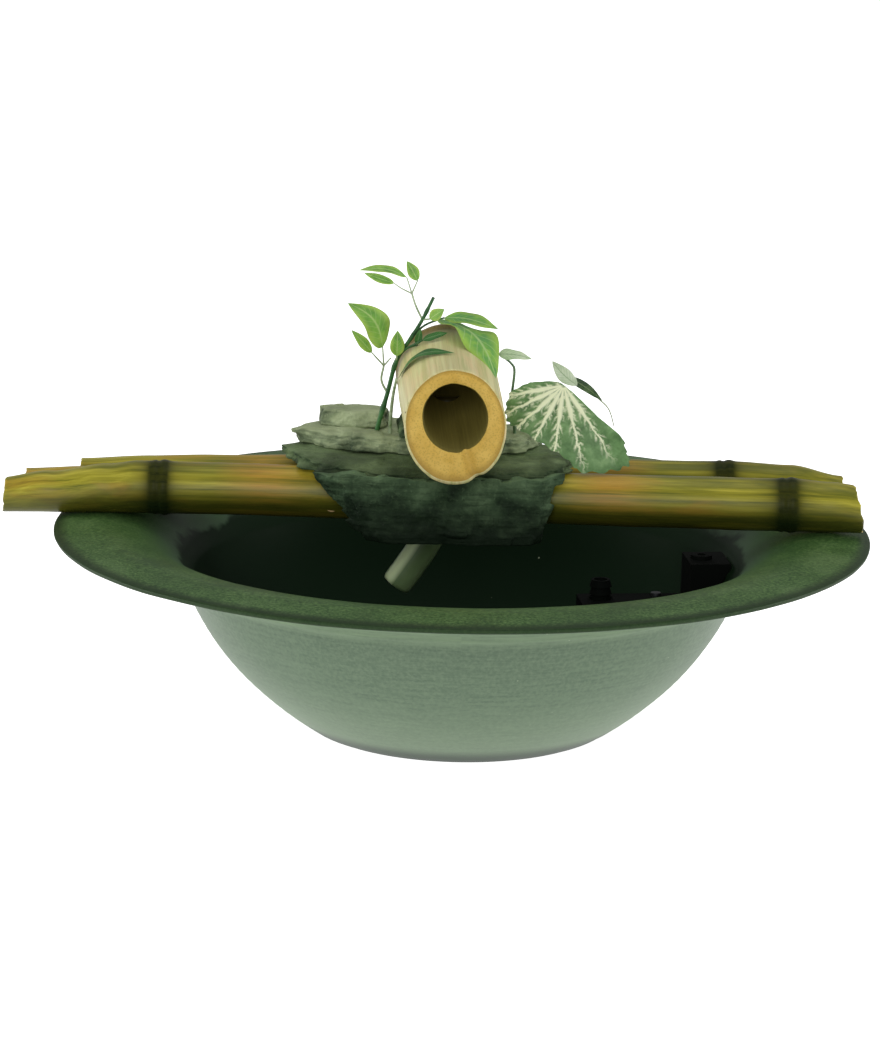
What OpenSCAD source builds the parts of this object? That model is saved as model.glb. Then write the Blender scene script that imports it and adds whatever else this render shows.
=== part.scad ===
// Table-top zen fountain: a glazed bowl, a raft of bamboo canes carrying slates, a bamboo
// spout and leaves, a water hose, and a small submersible pump on the bowl's inner wall.
// Millimetres, +Z up, origin at the centre of the flat foot, +Y away from the viewer.

/* [Bowl] */
// Outer diameter of the rim
rim_d = 300; // [280:1:330]
// Height of the rim's crest above the ground
bowl_h = 76; // [72:0.5:84]
// Diameter of the flat foot
foot_d = 110; // [96:1:120]
// Thickness of the wall and floor
wall = 4.5; // [3.5:0.1:5.5]
// Outer radius of the wall at the collar under the rim
collar_r = 104; // [100:0.5:107]
// Thickness of the rim's outer lip
lip_t = 3.2; // [2.8:0.1:4.5]

/* [Canes] */
// Diameter of the front cane between its nodes
front_cane_d = 19.4; // [18:0.1:20]
// Diameter of the short middle cane
middle_cane_d = 13; // [11:0.1:13.2]
// Diameter of the rear cane at its thick end
rear_cane_d = 17.2; // [15:0.1:17.6]
// Length of the front cane
front_cane_l = 320; // [300:1:330]
// Length of the short middle cane
middle_cane_l = 138; // [125:1:140]
// Length of the rear cane
rear_cane_l = 290; // [280:1:300]
// Distance from the front cane's axis to the rear cane's axis
cane_span = 36; // [35.8:0.1:38]
// Diameter of the wooden cross pins through the canes
pin_d = 5; // [4:0.1:6]

/* [Slates] */
// Thickness of the ledge slate over the canes
ledge_t = 4.6; // [4:0.1:6]
// Thickness of the upper slate
upper_t = 6; // [5:0.1:7.5]
// Thickness of the small cap slate
cap_t = 5.6; // [4:0.1:7]
// How far the front slate hangs below the ledge
apron_h = 24; // [16:0.5:26]
// Thickness of the front slate
apron_t = 8; // [6:0.5:10]

/* [Spout] */
// Outer diameter of the bamboo spout
spout_d = 36.8; // [34:0.1:39]
// Bore of the bamboo spout
spout_bore = 22.6; // [20:0.1:25]
// How far the bore lies above the middle of the spout
bore_rise = 3; // [2:0.1:4]
// Upward tilt of the spout towards its back
spout_tilt = 9; // [7:0.5:11]
// Length of the spout along its underside
spout_l = 70; // [68:0.5:74]
// Angle between the cut mouth and the spout's axis
mouth_cut = 62; // [50:1:72]
// Thickness of the closed node at the spout's back
spout_node_t = 2.6; // [2:0.1:3]

/* [Hose] */
// Outer diameter of the water hose
hose_d = 11.5; // [10:0.1:11.8]
// Bore of the water hose
hose_bore = 8.5; // [6.5:0.1:9]

/* [Pump] */
// Length of the pump housing across the bowl
pump_l = 38; // [36:0.5:40]
// Width of the pump housing
pump_w = 28; // [26:0.5:32]
// Diameter of the impeller chamber
chamber_d = 20; // [18:0.5:22]
// Diameter of the rotor magnet
magnet_d = 10; // [8:0.1:10.4]
// Diameter of the ceramic rotor shaft
shaft_d = 2; // [1.6:0.1:2.4]
// Number of impeller blades
blades = 6; // [4:1:7]
// Diameter of a suction cup's skirt
cup_d = 11; // [9:0.5:12]
// Running clearance on the radius of a shaft
run_clear = 0.05; // [0.03:0.01:0.09]

/* [Leaves] */
// Thickness of a leaf at its midrib
leaf_t = 0.9; // [0.7:0.1:1.2]
// Diameter of the main plant stem
stem_d = 2; // [1.4:0.1:2.6]
// Diameter of a leaf stalk
stalk_d = 1.3; // [1:0.1:1.6]

/* [Hidden] */
$fn = 64;
seat = 0.3;      // gap between a piece and the curved seat that it rests on
fit = 0.15;      // gap round a piece that sits in a pocket
eps = 0.02;      // overshoot of a cut past the face that it opens
cane_sides = 24;

// Curves and sweeps
function bez(a, b, c, t) = (1 - t) * (1 - t) * a + 2 * t * (1 - t) * b + t * t * c;
function slope(a, b, c, t) = 2 * (1 - t) * (b - a) + 2 * t * (c - b);
function unit(v) = v / norm(v);
function tangent(p, i) = unit(p[min(i + 1, len(p) - 1)] - p[max(i - 1, 0)]);
function side_of(t) = unit(cross(t, abs(t[1]) < 0.8 ? [0, 1, 0] : [1, 0, 0]));

// A closed tube along points, with a radius for each point
module sweep(points, radii, sides) {
    n = len(points);
    rings = [for (i = [0:n - 1])
        let (t = tangent(points, i), a = side_of(t), b = cross(t, a))
        for (k = [0:sides - 1])
            points[i] + radii[i] * (cos(360 * k / sides) * a + sin(360 * k / sides) * b)];
    walls = [for (i = [0:n - 2], k = [0:sides - 1])
        let (k2 = (k + 1) % sides, p = i * sides, q = p + sides)
        for (f = [[p + k, q + k, p + k2], [p + k2, q + k, q + k2]]) f];
    first = [for (k = [1:sides - 2]) [0, k, k + 1]];
    last = [for (k = [1:sides - 2]) (n - 1) * sides * [1, 1, 1] + [0, k + 1, k]];
    polyhedron(rings, concat(walls, first, last));
}

// Bowl profile: outer wall, collar, rolled rim and inner wall
foot_r = foot_d / 2;
rim_r = rim_d / 2;
collar_z = bowl_h - 19;
belly = [foot_r + 0.745 * (collar_r - foot_r), 0.41 * collar_z];
wall_a = [foot_r, 0];
wall_c = [collar_r - 0.8, collar_z];
wall_steps = 14;
function outer_wall(t) = bez(wall_a, belly, wall_c, t);
function inner_wall(t) = let (d = unit(slope(wall_a, belly, wall_c, t)))
    outer_wall(t) + wall * [-d[1], d[0]];
function curve(a, b, c, n) = [for (i = [1:n]) bez(a, b, c, i / n)];
crest_r = rim_r - 19;
throat_r = collar_r - wall;
collar_top = [collar_r + 0.9, collar_z + 3];
lip_under = [rim_r - 2, bowl_h - lip_t - 0.3];
lip_edge = [rim_r, bowl_h - lip_t + 1.4];
rim_top = [crest_r + 9, bowl_h - 0.3];
crest = [crest_r, bowl_h];

module bowl_profile() {
    polygon(concat(
        [[0, 0]],
        [for (i = [0:wall_steps]) outer_wall(i / wall_steps)],
        [[collar_r, collar_z + 0.4], collar_top],
        curve(collar_top, [collar_r + 12, lip_under[1] - 1], lip_under, 5),
        curve(lip_under, [rim_r, lip_under[1]], lip_edge, 3),
        curve(lip_edge, [rim_r - 0.4, rim_top[1] - 0.6], rim_top, 5),
        [crest],
        throat,
        [for (i = [wall_steps:-1:1]) inner_wall(i / wall_steps)],
        [[foot_r - 6, wall], [0, wall]]));
}

// Inner radius of the bowl at a height, for what stands against the wall
throat = curve(crest, [crest_r - 20, bowl_h - 1.5], [throat_r + 2, collar_z + 4], 6);
inner_table = concat([for (i = [0:wall_steps]) let (p = inner_wall(i / wall_steps)) [p[1], p[0]]],
    [for (i = [5:-1:0]) [throat[i][1], throat[i][0]]]);
function wall_in(z) = lookup(z, inner_table);

module bowl() {
    color("#4f7048") rotate_extrude($fn = 128) bowl_profile();
}

// Cane places: each rests on the rim's crest and lies almost along X
front_r = front_cane_d / 2;
middle_r = middle_cane_d / 2;
rear_r = rear_cane_d / 2;
rest_z = bowl_h + seat;
front_z = rest_z + front_r;
middle_z = rest_z + middle_r;
rear_z = rest_z + rear_r;
front_y = 0.5;
rear_y = front_y + cane_span;
middle_y = rear_y - rear_r - middle_r - 0.9;
front_skew = -0.047;
middle_skew = -0.030;
rear_skew = -0.020;
front_x = -173;
middle_x = -165;
rear_x = -146;
function front_axis(x) = front_y + front_skew * x;
function middle_axis(x) = middle_y + middle_skew * x;
function rear_axis(x) = rear_y + rear_skew * x;

// Stations along a cane: x, drop of the axis and share of the radius
front_stations = [
    [front_x, 4.8, 0.66], [front_x + 20, 2.9, 0.80], [-132, 0.9, 0.93], [-120, 0.1, 1],
    [-115, 0, 1.01], [-112, 0, 1.07], [-109, 0, 1.01], [-60, 0, 0.99], [0, 0, 0.98],
    [70, 0, 0.98], [116, 0, 1], [119, 0, 1.06], [122, 0, 1], [134, 0.2, 0.96],
    [front_x + front_cane_l + 4, 1.1, 0.87]];
middle_stations = [
    [middle_x, 0.4, 0.86], [-140, 0, 1], [-100, 0, 1], [-66, 0, 1], [-63, 0, 1.05], [-60, 0, 1],
    [middle_x + middle_cane_l, 0, 0.96]];
rear_stations = [
    [rear_x, 2.2, 0.76], [-118, 1.4, 0.84], [-90, 0.9, 0.9], [-40, 0.2, 0.98], [20, 0, 1],
    [96, 0, 1], [99, 0, 1.05], [102, 0, 1], [124, 0.4, 0.95],
    [rear_x + rear_cane_l, 2.2, 0.74]];

module cane(stations, radius, z, y0, skew) {
    pts = [for (s = stations) [s[0], y0 + skew * s[0], z - s[1]]];
    sweep(pts, [for (s = stations) radius * s[2]], cane_sides);
}

// The cross pins run along Y through every cane that they meet
pin_xs = [-48, 28];
pin_z = rest_z + middle_r;
pin_from = -front_r + 1.6;
pin_to = rear_y + rear_r - 1.6;
module pin_holes() {
    for (x = pin_xs) translate([x, front_axis(x) + pin_from - fit, pin_z])
        rotate([-90, 0, 0]) cylinder(d = pin_d + 0.1, h = pin_to + 40);
}

module cane_front() {
    color("#a59a3c") difference() {
        cane(front_stations, front_r, front_z, front_y, front_skew);
        pin_holes();
        // the right end is sawn at a slant and the left end a little out of square
        translate([front_x + front_cane_l - 1, -40, rest_z - 10]) rotate([0, 14, 0]) cube([30, 90, 50]);
        translate([front_x - 30, -40, rest_z - 20]) rotate([0, -3, 0]) cube([30, 90, 60]);
    }
}
module cane_middle() {
    color("#b09a40") difference() {
        cane(middle_stations, middle_r, middle_z, middle_y, middle_skew);
        pin_holes();
    }
}
module cane_rear() {
    color("#9c8f3a") difference() {
        cane(rear_stations, rear_r, rear_z, rear_y, rear_skew);
        intersection() {
            pin_holes();
            translate([-100, 0, rest_z]) cube([200, pin_to, 40]);
        }
    }
}
module cross_pins() {
    color("#c8a878") for (x = pin_xs) translate([x, front_axis(x) + pin_from, pin_z])
        rotate([-90, 0, 0]) cylinder(d = pin_d, h = pin_to - fit - front_axis(x) - pin_from);
}

// Spout place: its axis passes through this point and climbs towards the back
spout_at = [-3.3, -36.1, rest_z + front_cane_d + ledge_t + 19];
spout_yaw = 3.6;
spout_r = spout_d / 2;
mouth_reach = spout_r / tan(mouth_cut);
module spout_frame() {
    translate(spout_at) rotate([0, 0, spout_yaw]) rotate([90 + spout_tilt, 0, 0]) rotate([0, 180, 0])
        children();
}

// Hose route, chosen by hand: from its top inside the spout, just ahead of the closed node,
// straight down between the canes, then on a slow bend to the left into the bowl
hose_route = [[-6.6, 16.8, 120.7], [-6.6, 16.8, 115], [-6.6, 16.8, 110], [-6.6, 16.8, 105],
    [-6.6, 16.8, 100], [-6.6, 16.8, 95.5], [-6.6, 16.8, 91], [-6.9, 16.8, 85.4], [-7.7, 16.8, 79.9],
    [-9.1, 16.8, 74.4], [-11, 16.8, 69.2], [-13.4, 16.8, 64.2], [-16.3, 16.8, 59.4],
    [-18.3, 16.8, 56.5], [-20.2, 16.8, 53.6], [-22.2, 16.8, 50.7], [-24.2, 16.8, 47.8]];
hose_sides = 16;
module hose_tube(d, extra) {
    n = len(hose_route);
    line = [for (i = [0:n - 1]) hose_route[i]
        - (i == 0 ? extra : 0) * tangent(hose_route, 0) + (i == n - 1 ? extra : 0) * tangent(hose_route, i)];
    sweep(line, [for (p = line) d / 2], hose_sides);
}
module water_hose() {
    color("#8f9c7c") difference() {
        hose_tube(hose_d, 0);
        hose_tube(hose_bore, 1);
    }
}

// The hole that the slates and the spout have for the hose, up to the middle of the spout's bore
bore_z = spout_at[2] + bore_rise + (hose_route[0][1] - spout_at[1]) * tan(spout_tilt);
module hose_cut(extra) {
    translate([hose_route[0][0], hose_route[0][1], hose_route[6][2]])
        cylinder(d = hose_d + 2 * extra, h = bore_z - hose_route[6][2]);
}

// Slates: each is a stack of thin irregular plates
ledge_z = rest_z + front_cane_d + seat;
upper_z = ledge_z + ledge_t;
cap_z = upper_z + upper_t;
front_edge = front_axis(40) - front_r - seat;

module plate(low, high, z, t) {
    hull() {
        translate([0, 0, z]) linear_extrude(height = 0.1) polygon(low);
        translate([0, 0, z + t - 0.1]) linear_extrude(height = 0.1) polygon(high);
    }
}

ledge_low = [[-64, 4], [-54, -13], [-20, -19], [12, -19], [34, -15], [40, 2], [36, 30], [10, 47],
    [-30, 48], [-60, 34], [-67, 22]];
ledge_high = [[-61, 6], [-50, -10], [-22, -17], [14, -17.5], [33, -12], [42, 4], [37, 28], [12, 46],
    [-28, 48], [-58, 34], [-69, 21]];
module slate_ledge() {
    color("#5b7060") difference() {
        union() {
            plate(ledge_low, ledge_high, ledge_z, ledge_t);
            // a thicker rear part that reaches down to the thinner rear cane
            translate([-50, rear_y - 6, rear_z + rear_r + seat]) cube([80, 13, ledge_z - rear_z - rear_r]);
        }
        hose_cut(seat);
        spout_bed();
    }
}

apron_low = [[-36, 0], [-28, -apron_t * 0.8], [4, -apron_t], [26, -apron_t * 0.7], [30, 0]];
apron_mid = [[-48, 0], [-38, -apron_t * 0.9], [0, -apron_t * 1.1], [32, -apron_t * 0.8], [38, 0]];
apron_high = [[-57, 0], [-46, -apron_t * 0.75], [-4, -apron_t], [30, -apron_t * 0.7], [37, 0]];
module slate_front() {
    color("#34483c") translate([0, front_edge, 0]) {
        plate(apron_low, apron_mid, ledge_z - apron_h, apron_h * 0.55);
        plate(apron_mid, apron_high, ledge_z - apron_h * 0.45, apron_h * 0.45);
    }
}

upper_low = [[-62, 24], [-46, 8], [-20, 2], [10, 2], [24, 12], [30, 30], [8, 45], [-32, 46],
    [-60, 34]];
upper_high = [[-64, 25], [-48, 12], [-22, 6], [12, 5], [20, 14], [26, 30], [4, 44], [-30, 45],
    [-58, 36]];
saddle_low = [[-20, 5], [12, 4], [14, 34], [-24, 36]];
saddle_high = [[-16, 8], [9, 7], [10, 31], [-20, 33]];
saddle_t = 6.5;
module spout_bed() {
    spout_frame() translate([0, 0, -20]) cylinder(r = spout_r + seat, h = 120);
}
module slate_upper() {
    color("#65796a") difference() {
        union() {
            plate(upper_low, upper_high, upper_z, upper_t);
            plate(saddle_low, saddle_high, cap_z - 0.1, saddle_t);
        }
        hose_cut(seat);
        spout_bed();
        root_sockets();
    }
}

cap_low = [[-54, 26], [-40, 20], [-29, 22], [-27, 40], [-44, 44], [-55, 38]];
cap_high = [[-52, 28], [-40, 24], [-30, 25], [-29, 39], [-44, 42], [-54, 37]];
module slate_cap() {
    color("#7d8f7e") plate(cap_low, cap_high, cap_z, cap_t);
}

module spout() {
    color("#d8bd80") difference() {
        spout_frame() translate([0, 0, -mouth_reach - 2]) cylinder(d = spout_d, h = spout_l + 2);
        spout_frame() translate([0, bore_rise, -mouth_reach - 3])
            cylinder(d = spout_bore, h = spout_l + 3 - spout_node_t);
        // the slanted mouth, longest at the bottom
        spout_frame() rotate([90 - mouth_cut, 0, 0]) translate([-40, -60, -80]) cube([80, 120, 80]);
        hose_cut(seat);
    }
}

// Leaves: two curved faces meeting at a thin edge, folded along the midrib
leaf_steps = 7;
function leaf_half(t, w) = w / 2 * pow(sin(180 * pow(t, 0.8)), 0.75);
module leaf(base, tip, w, up, droop = 0, fold = 0.12) {
    along = tip - base;
    n = unit(up - (up * along) / (along * along) * along);
    across = unit(cross(unit(along), n));
    ts = [for (i = [1:leaf_steps - 1]) i / leaf_steps];
    function mid(t) = base + t * along + n * droop * sin(180 * t);
    function rim(t, s) = mid(t) + s * leaf_half(t, w) * across + n * fold * leaf_half(t, w);
    m = len(ts);
    pts = concat([base, tip],
        [for (t = ts) mid(t) + n * leaf_t / 2], [for (t = ts) mid(t) - n * leaf_t / 2],
        [for (t = ts) rim(t, -1)], [for (t = ts) rim(t, 1)]);
    a = 2; b = 2 + m; l = 2 + 2 * m; r = 2 + 3 * m;
    strips = [for (i = [0:m - 2]) for (f = [
        [a + i, l + i, l + i + 1], [a + i, l + i + 1, a + i + 1],
        [a + i, a + i + 1, r + i + 1], [a + i, r + i + 1, r + i],
        [b + i, l + i + 1, l + i], [b + i, b + i + 1, l + i + 1],
        [b + i, r + i + 1, b + i + 1], [b + i, r + i, r + i + 1]]) f];
    ends = [[0, l, a], [0, a, r], [0, b, l], [0, r, b],
        [1, a + m - 1, l + m - 1], [1, r + m - 1, a + m - 1],
        [1, l + m - 1, b + m - 1], [1, b + m - 1, r + m - 1]];
    polyhedron(pts, concat(strips, ends));
}
module stalk(points, d) {
    sweep(points, [for (p = points) d / 2], 8);
}

// The plants: each stem stands in a drilled socket of the upper slate. Stalks and leaves of
// one sprig are joined, and start just clear of the stem that carries them.
root_z = cap_z - 3;
sprig_root = [-32, 18.5, root_z];
pale_root = [-27.4, 18.5, root_z];
side_root = [19, 21, root_z];
heart_root = [20.5, 30, root_z];
roots = [sprig_root, pale_root, side_root, heart_root];
module root_sockets() {
    for (p = roots) translate([p[0], p[1], p[2] - seat]) cylinder(d = stem_d + 2 * fit, h = 20);
}
plant_z = cap_z - 106.6;  // the plants ride up and down with the upper slate
function raised(p) = p + [0, 0, plant_z];
function clear_of(p, q, gap) = p + gap * unit(q - p);
module twig(points, gap = 0) {
    stalk([clear_of(points[0], points[1], gap), for (i = [1:1:len(points) - 1]) points[i]], stalk_d);
}
module leaf_on(base, tip, w, up, droop = 0, fold = 0.12) {
    leaf(clear_of(base, tip, -0.4), tip, w, up, droop, fold);
}
module upright_stem(root, points, d) {
    n = len(points);
    sweep(concat([root, root + [0, 0, 4]], points),
        concat([d / 2, d / 2], [for (i = [1:n]) d / 2 * (1 - 0.25 * i / n)]), 8);
}
facing = [0.1, -1, 0.35];
stem_gap = stem_d / 2 + stalk_d / 2 + 0.2;

sprig_points = [[-28.5, 16, 121], [-25.3, 12, 134], [-20, 10, 143], [-16, 9, 150], [-12, 8, 158.5]];
fork_low = [-30, 15, 131.5];
fork_high = [-20, 10, 159.5];
module sprig_stem() {
    color("#3c6a34") upright_stem(sprig_root, [for (p = sprig_points) raised(p)], stem_d);
}
module sprig_leaves() {
    color("#74ad4c") translate([0, 0, plant_z]) {
        twig([sprig_points[0], [-30.8, 15, 126], fork_low], stem_gap);
        twig([fork_low, [-34.5, 14, 136.5]]);
        leaf_on([-34.5, 14, 136.5], [-42, 10, 145.5], 3.6, facing, 0.6);
        twig([fork_low, [-30.5, 14, 138.5]]);
        leaf_on([-30.5, 14, 138.5], [-42.5, 10, 155], 8.4, facing, 3.2);
        twig([sprig_points[3], [-18.5, 10, 155], fork_high], stem_gap);
        twig([fork_high, [-22, 10, 165.5]]);
        leaf_on([-22, 10, 165.5], [-39.5, 5, 168.5], 3.4, [0, -0.5, 1], 2.4);
        twig([fork_high, [-26.5, 8, 163.5]]);
        leaf_on([-26.5, 8, 163.5], [-36, 4, 167.5], 2.6, facing, -0.6);
        twig([fork_high, [-18, 12, 164]]);
        leaf_on([-18, 12, 164], [-22, 13, 171], 3.4, facing, 0.5);
        twig([sprig_points[3], [-13.3, 7.4, 150.6]], stem_gap);
        leaf_on([-13.3, 7.4, 150.6], [-8.5, 6.5, 153.5], 3.6, facing, 0.4);
        twig([sprig_points[1], [-25.2, 9.4, 136.2]], stem_gap);
        leaf_on([-25.2, 9.4, 136.2], [-24.5, 8, 145], 4.6, facing, 0.5);
    }
}
pale_points = [[-27, 13, 114.5], [-26.2, 7, 122.5], [-25, -0.5, 129.6]];
module pale_stem() {
    color("#a8bf86") upright_stem(pale_root, [for (p = pale_points) raised(p)], stem_d * 0.85);
}
module spout_leaf() {
    color("#3f7a3a") translate([0, 0, plant_z])
        leaf([-24.1, -1, 130], [-4.5, -15, 142], 5, [-0.8, -0.15, 1], 4.9, 0);
}
crest_fork = [-8, 17, 149.5];
module crest_leaves() {
    color("#7ab33c") translate([0, 0, plant_z]) {
        twig([sprig_points[2], [-15, 12, 147.5], crest_fork], stem_gap);
        leaf_on(crest_fork, [12, 6, 147.5], 6, [0, -0.45, 1], 2, 0.1);
        leaf_on(crest_fork, [11.8, -8, 133.5], 9.5, [0.9, -0.2, 1], 5.5, 0.08);
    }
}
side_points = [[17.5, 14, 119], [18.3, 10, 131], [17, 8, 134.5], [13.5, 4, 138]];
module side_stem() {
    color("#3f6b3a") upright_stem(side_root, [for (p = side_points) raised(p)], stem_d * 0.8);
}
module side_leaf() {
    color("#a9c78c") translate([0, 0, plant_z])
        leaf([14.4, 4, 137.9], [24, 4, 137], 5, [0, -0.7, 1], 0.6);
}
// The heart leaf leans over the front cane; the stem behind it ends just short of its back
heart_at = [36.5, 8, 126.5];
heart_tilt = 25;
heart_face = [0, -cos(heart_tilt), sin(heart_tilt)];
heart_outline = [[-19.6, -2.1], [-13.6, 1], [-9.9, 1.7], [-2.3, 1.5], [2.3, -1.6], [6.8, -5.8],
    [14.7, -13.4], [21.5, -18.6], [23.4, -24], [24.5, -28.5], [18.1, -31.5], [6.8, -32.3], [1.5, -27.8],
    [-6.8, -22.8], [-16.6, -16.4], [-20.4, -13.4], [-21.2, -8.1]];
module heart_leaf() {
    color("#6f9a68") translate(raised(heart_at)) rotate([90 - heart_tilt, 0, 0])
        linear_extrude(height = leaf_t) polygon(heart_outline);
}
heart_joint = heart_at + [-1, 0, 0] - 0.3 * heart_face;
heart_bend = heart_joint - 3 * heart_face;
module back_leaf() {
    color("#8fb070") {
        upright_stem(heart_root,
            [for (p = [[25, 24, 113], [31, 16, 121], heart_bend, heart_joint]) raised(p)], stalk_d * 1.3);
        translate([0, 0, plant_z]) {
            leaf(heart_bend, [32, 13, 134.5], 3.6, facing);
            leaf(heart_bend, [49, 10, 121.5], 2.6, facing);
        }
    }
}

// Pump frame: u points from the bowl's centre to the wall, v lies across, both turned about +Z.
// The housing's back follows the wall, and the rest is placed from the housing.
pump_turn = 6;
pump_low = 17;
pump_top = 45;
heel = [wall_in(pump_low) - 4.2, pump_low];
hip = [wall_in(pump_low + 20) - 4.6, pump_low + 20];
pump_left = hip[0] - 34;
pump_right = pump_left + pump_l;
axis_z = pump_low + 14;
chamber_depth = 8;
chamber_r = chamber_d / 2;
half_w = pump_w / 2;
shell = 1.6;
module pump_frame() { rotate([0, 0, pump_turn]) children(); }
module along_u(u, v, z) { translate([u, v, z]) rotate([0, 90, 0]) children(); }
module across_v(depth) {
    translate([0, depth / 2, 0]) rotate([90, 0, 0]) linear_extrude(height = depth) children();
}
function back_z(u) = heel[1] + (u - heel[0]) * (hip[1] - heel[1]) / (hip[0] - heel[0]);
function back_u(z) = heel[0] + (z - heel[1]) * (hip[0] - heel[0]) / (hip[1] - heel[1]);

// The rotor well divides the wet chamber from the dry pit that holds the stator
well_r = magnet_d / 2 + 0.6;
well_wall = 1;
well_l = 13;
well_from = pump_left + chamber_depth;
pit_from = well_from + shell;
pit_to = well_from + well_l + 2;
pit_z = axis_z - well_r - well_wall - 0.4;
pit_floor = 2.6;
module pump_housing() {
    color("#20231f") pump_frame() difference() {
        across_v(pump_w) polygon([[pump_left, pump_low], heel, hip, [pump_right, hip[1] + 5],
            [pump_right, pump_top], [pump_left, pump_top]]);
        along_u(pump_left - eps, 0, axis_z) cylinder(r = chamber_r, h = chamber_depth + eps);
        difference() {
            across_v(pump_w - 2 * shell) polygon([[pit_from, pit_z], [back_u(pit_z - pit_floor), pit_z],
                [pit_to, back_z(pit_to) + pit_floor], [pit_to, pump_top + 1], [pit_from, pump_top + 1]]);
            along_u(well_from, 0, axis_z) cylinder(r = well_r + well_wall, h = well_l + 4);
        }
        along_u(well_from - eps, 0, axis_z) cylinder(r = well_r, h = well_l + eps);
        along_u(well_from + well_l - eps, 0, axis_z) cylinder(d = bush_d, h = bush_l + eps);
        cap_recess(0);
        cap_screw_places() translate([0, 0, -5.2]) cylinder(d = screw_d + 0.1, h = 6);
        // outlet port from the chamber up to the spigot
        spigot_place() translate([0, 0, axis_z - pump_top]) cylinder(d = port_d, h = 40);
        spigot_place() translate([0, 0, -port_seat]) cylinder(d = port_seat_d, h = 10);
        cup_places() translate([0, 0, -cup_root]) cylinder(d = cup_stem_d + 2 * fit, h = 10);
    }
}
cap_from = well_from + 0.6;
cap_l = well_l + 6;
screw_d = 2;
module cap_recess(gap) {
    translate([cap_from + gap, -half_w + 0.8 + gap, pump_top - shell])
        cube([cap_l - 2 * gap, pump_w - 1.6 - 2 * gap, gap > 0 ? shell : 10]);
}
module cap_screw_places() {
    for (v = [-1, 1]) translate([cap_from + cap_l - 1.9, v * (half_w - 3.2), pump_top - shell]) children();
}
module housing_cap() {
    color("#262a25") pump_frame() difference() {
        cap_recess(fit);
        cap_screw_places() translate([0, 0, -1]) cylinder(d = screw_d + 0.4, h = 6);
    }
}
stack_u = well_from + 3.4;
stack_l = 8;
leg_t = 2.3;
leg_v = well_r + well_wall + fit;
core_top = pump_top - shell - 0.3;
yoke_t = 2.2;
module stator_core() {
    color("#8a8d90") pump_frame() {
        for (s = [-1, 1]) translate([stack_u, s > 0 ? leg_v : -leg_v - leg_t, axis_z - 6])
            cube([stack_l, leg_t, core_top - axis_z + 6]);
        translate([stack_u, -leg_v - leg_t, core_top - yoke_t])
            cube([stack_l, 2 * (leg_v + leg_t), yoke_t]);
    }
}
coil_t = 1.5;
coil_z = axis_z + well_r + well_wall + 0.3;
coil_h = core_top - yoke_t - fit - coil_z;
module stator_coils() {
    color("#b87333") pump_frame() for (s = [-1, 1])
        translate([stack_u - coil_t - fit, s * (leg_v + leg_t / 2), coil_z]) difference() {
            translate([0, -leg_t / 2 - coil_t - fit, 0])
                cube([stack_l + 2 * coil_t + 2 * fit, leg_t + 2 * coil_t + 2 * fit, coil_h]);
            translate([coil_t, -leg_t / 2 - fit, -1])
                cube([stack_l + 2 * fit, leg_t + 2 * fit, coil_h + 2]);
        }
}

// Wet end: magnet and impeller turn on a ceramic shaft, held behind by one bush in the
// housing and in front by another in the cover
bush_d = 5;
bush_l = 2.4;
magnet_l = 9.5;
magnet_u = well_from + 1.6;
hub_d = 6;
shaft_from = pump_left + 0.9;
shaft_to = well_from + well_l + bush_l - 0.3;
front_bush_u = pump_left - 1.2;
module rotor_shaft() {
    color("#e8e6dc") pump_frame() along_u(shaft_from, 0, axis_z)
        cylinder(d = shaft_d, h = shaft_to - shaft_from);
}
module shaft_bore(h) { translate([0, 0, -1]) cylinder(d = shaft_d + 2 * run_clear, h = h); }
module rotor_magnet() {
    color("#3a3c40") pump_frame() along_u(magnet_u, 0, axis_z) difference() {
        cylinder(d = magnet_d, h = magnet_l);
        shaft_bore(magnet_l + 2);
    }
}
blade_r = chamber_r - 1.4;
blade_l = 4;
disc_u = pump_left + chamber_depth - 1.8;
module impeller() {
    color("#d9dcd6") pump_frame() along_u(disc_u, 0, axis_z) difference() {
        union() {
            cylinder(r = blade_r, h = 1.2);
            translate([0, 0, -blade_l]) cylinder(d = hub_d, h = blade_l + magnet_u - disc_u);
            for (i = [0:blades - 1]) rotate([0, 0, i * 360 / blades])
                translate([1.5, -0.5, -blade_l]) cube([blade_r - 2.1, 1, blade_l + 0.2]);
        }
        translate([0, 0, -blade_l]) shaft_bore(20);
    }
}
module rear_bush() {
    color("#4a4c48") pump_frame() along_u(well_from + well_l + 0.1, 0, axis_z) difference() {
        cylinder(d = bush_d - 0.1, h = bush_l - 0.1);
        shaft_bore(10);
    }
}
module front_bush() {
    color("#4a4c48") pump_frame() along_u(front_bush_u, 0, axis_z) difference() {
        cylinder(d = bush_d - 0.1, h = 3);
        translate([0, 0, 3]) shaft_bore(10);
    }
}

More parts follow.
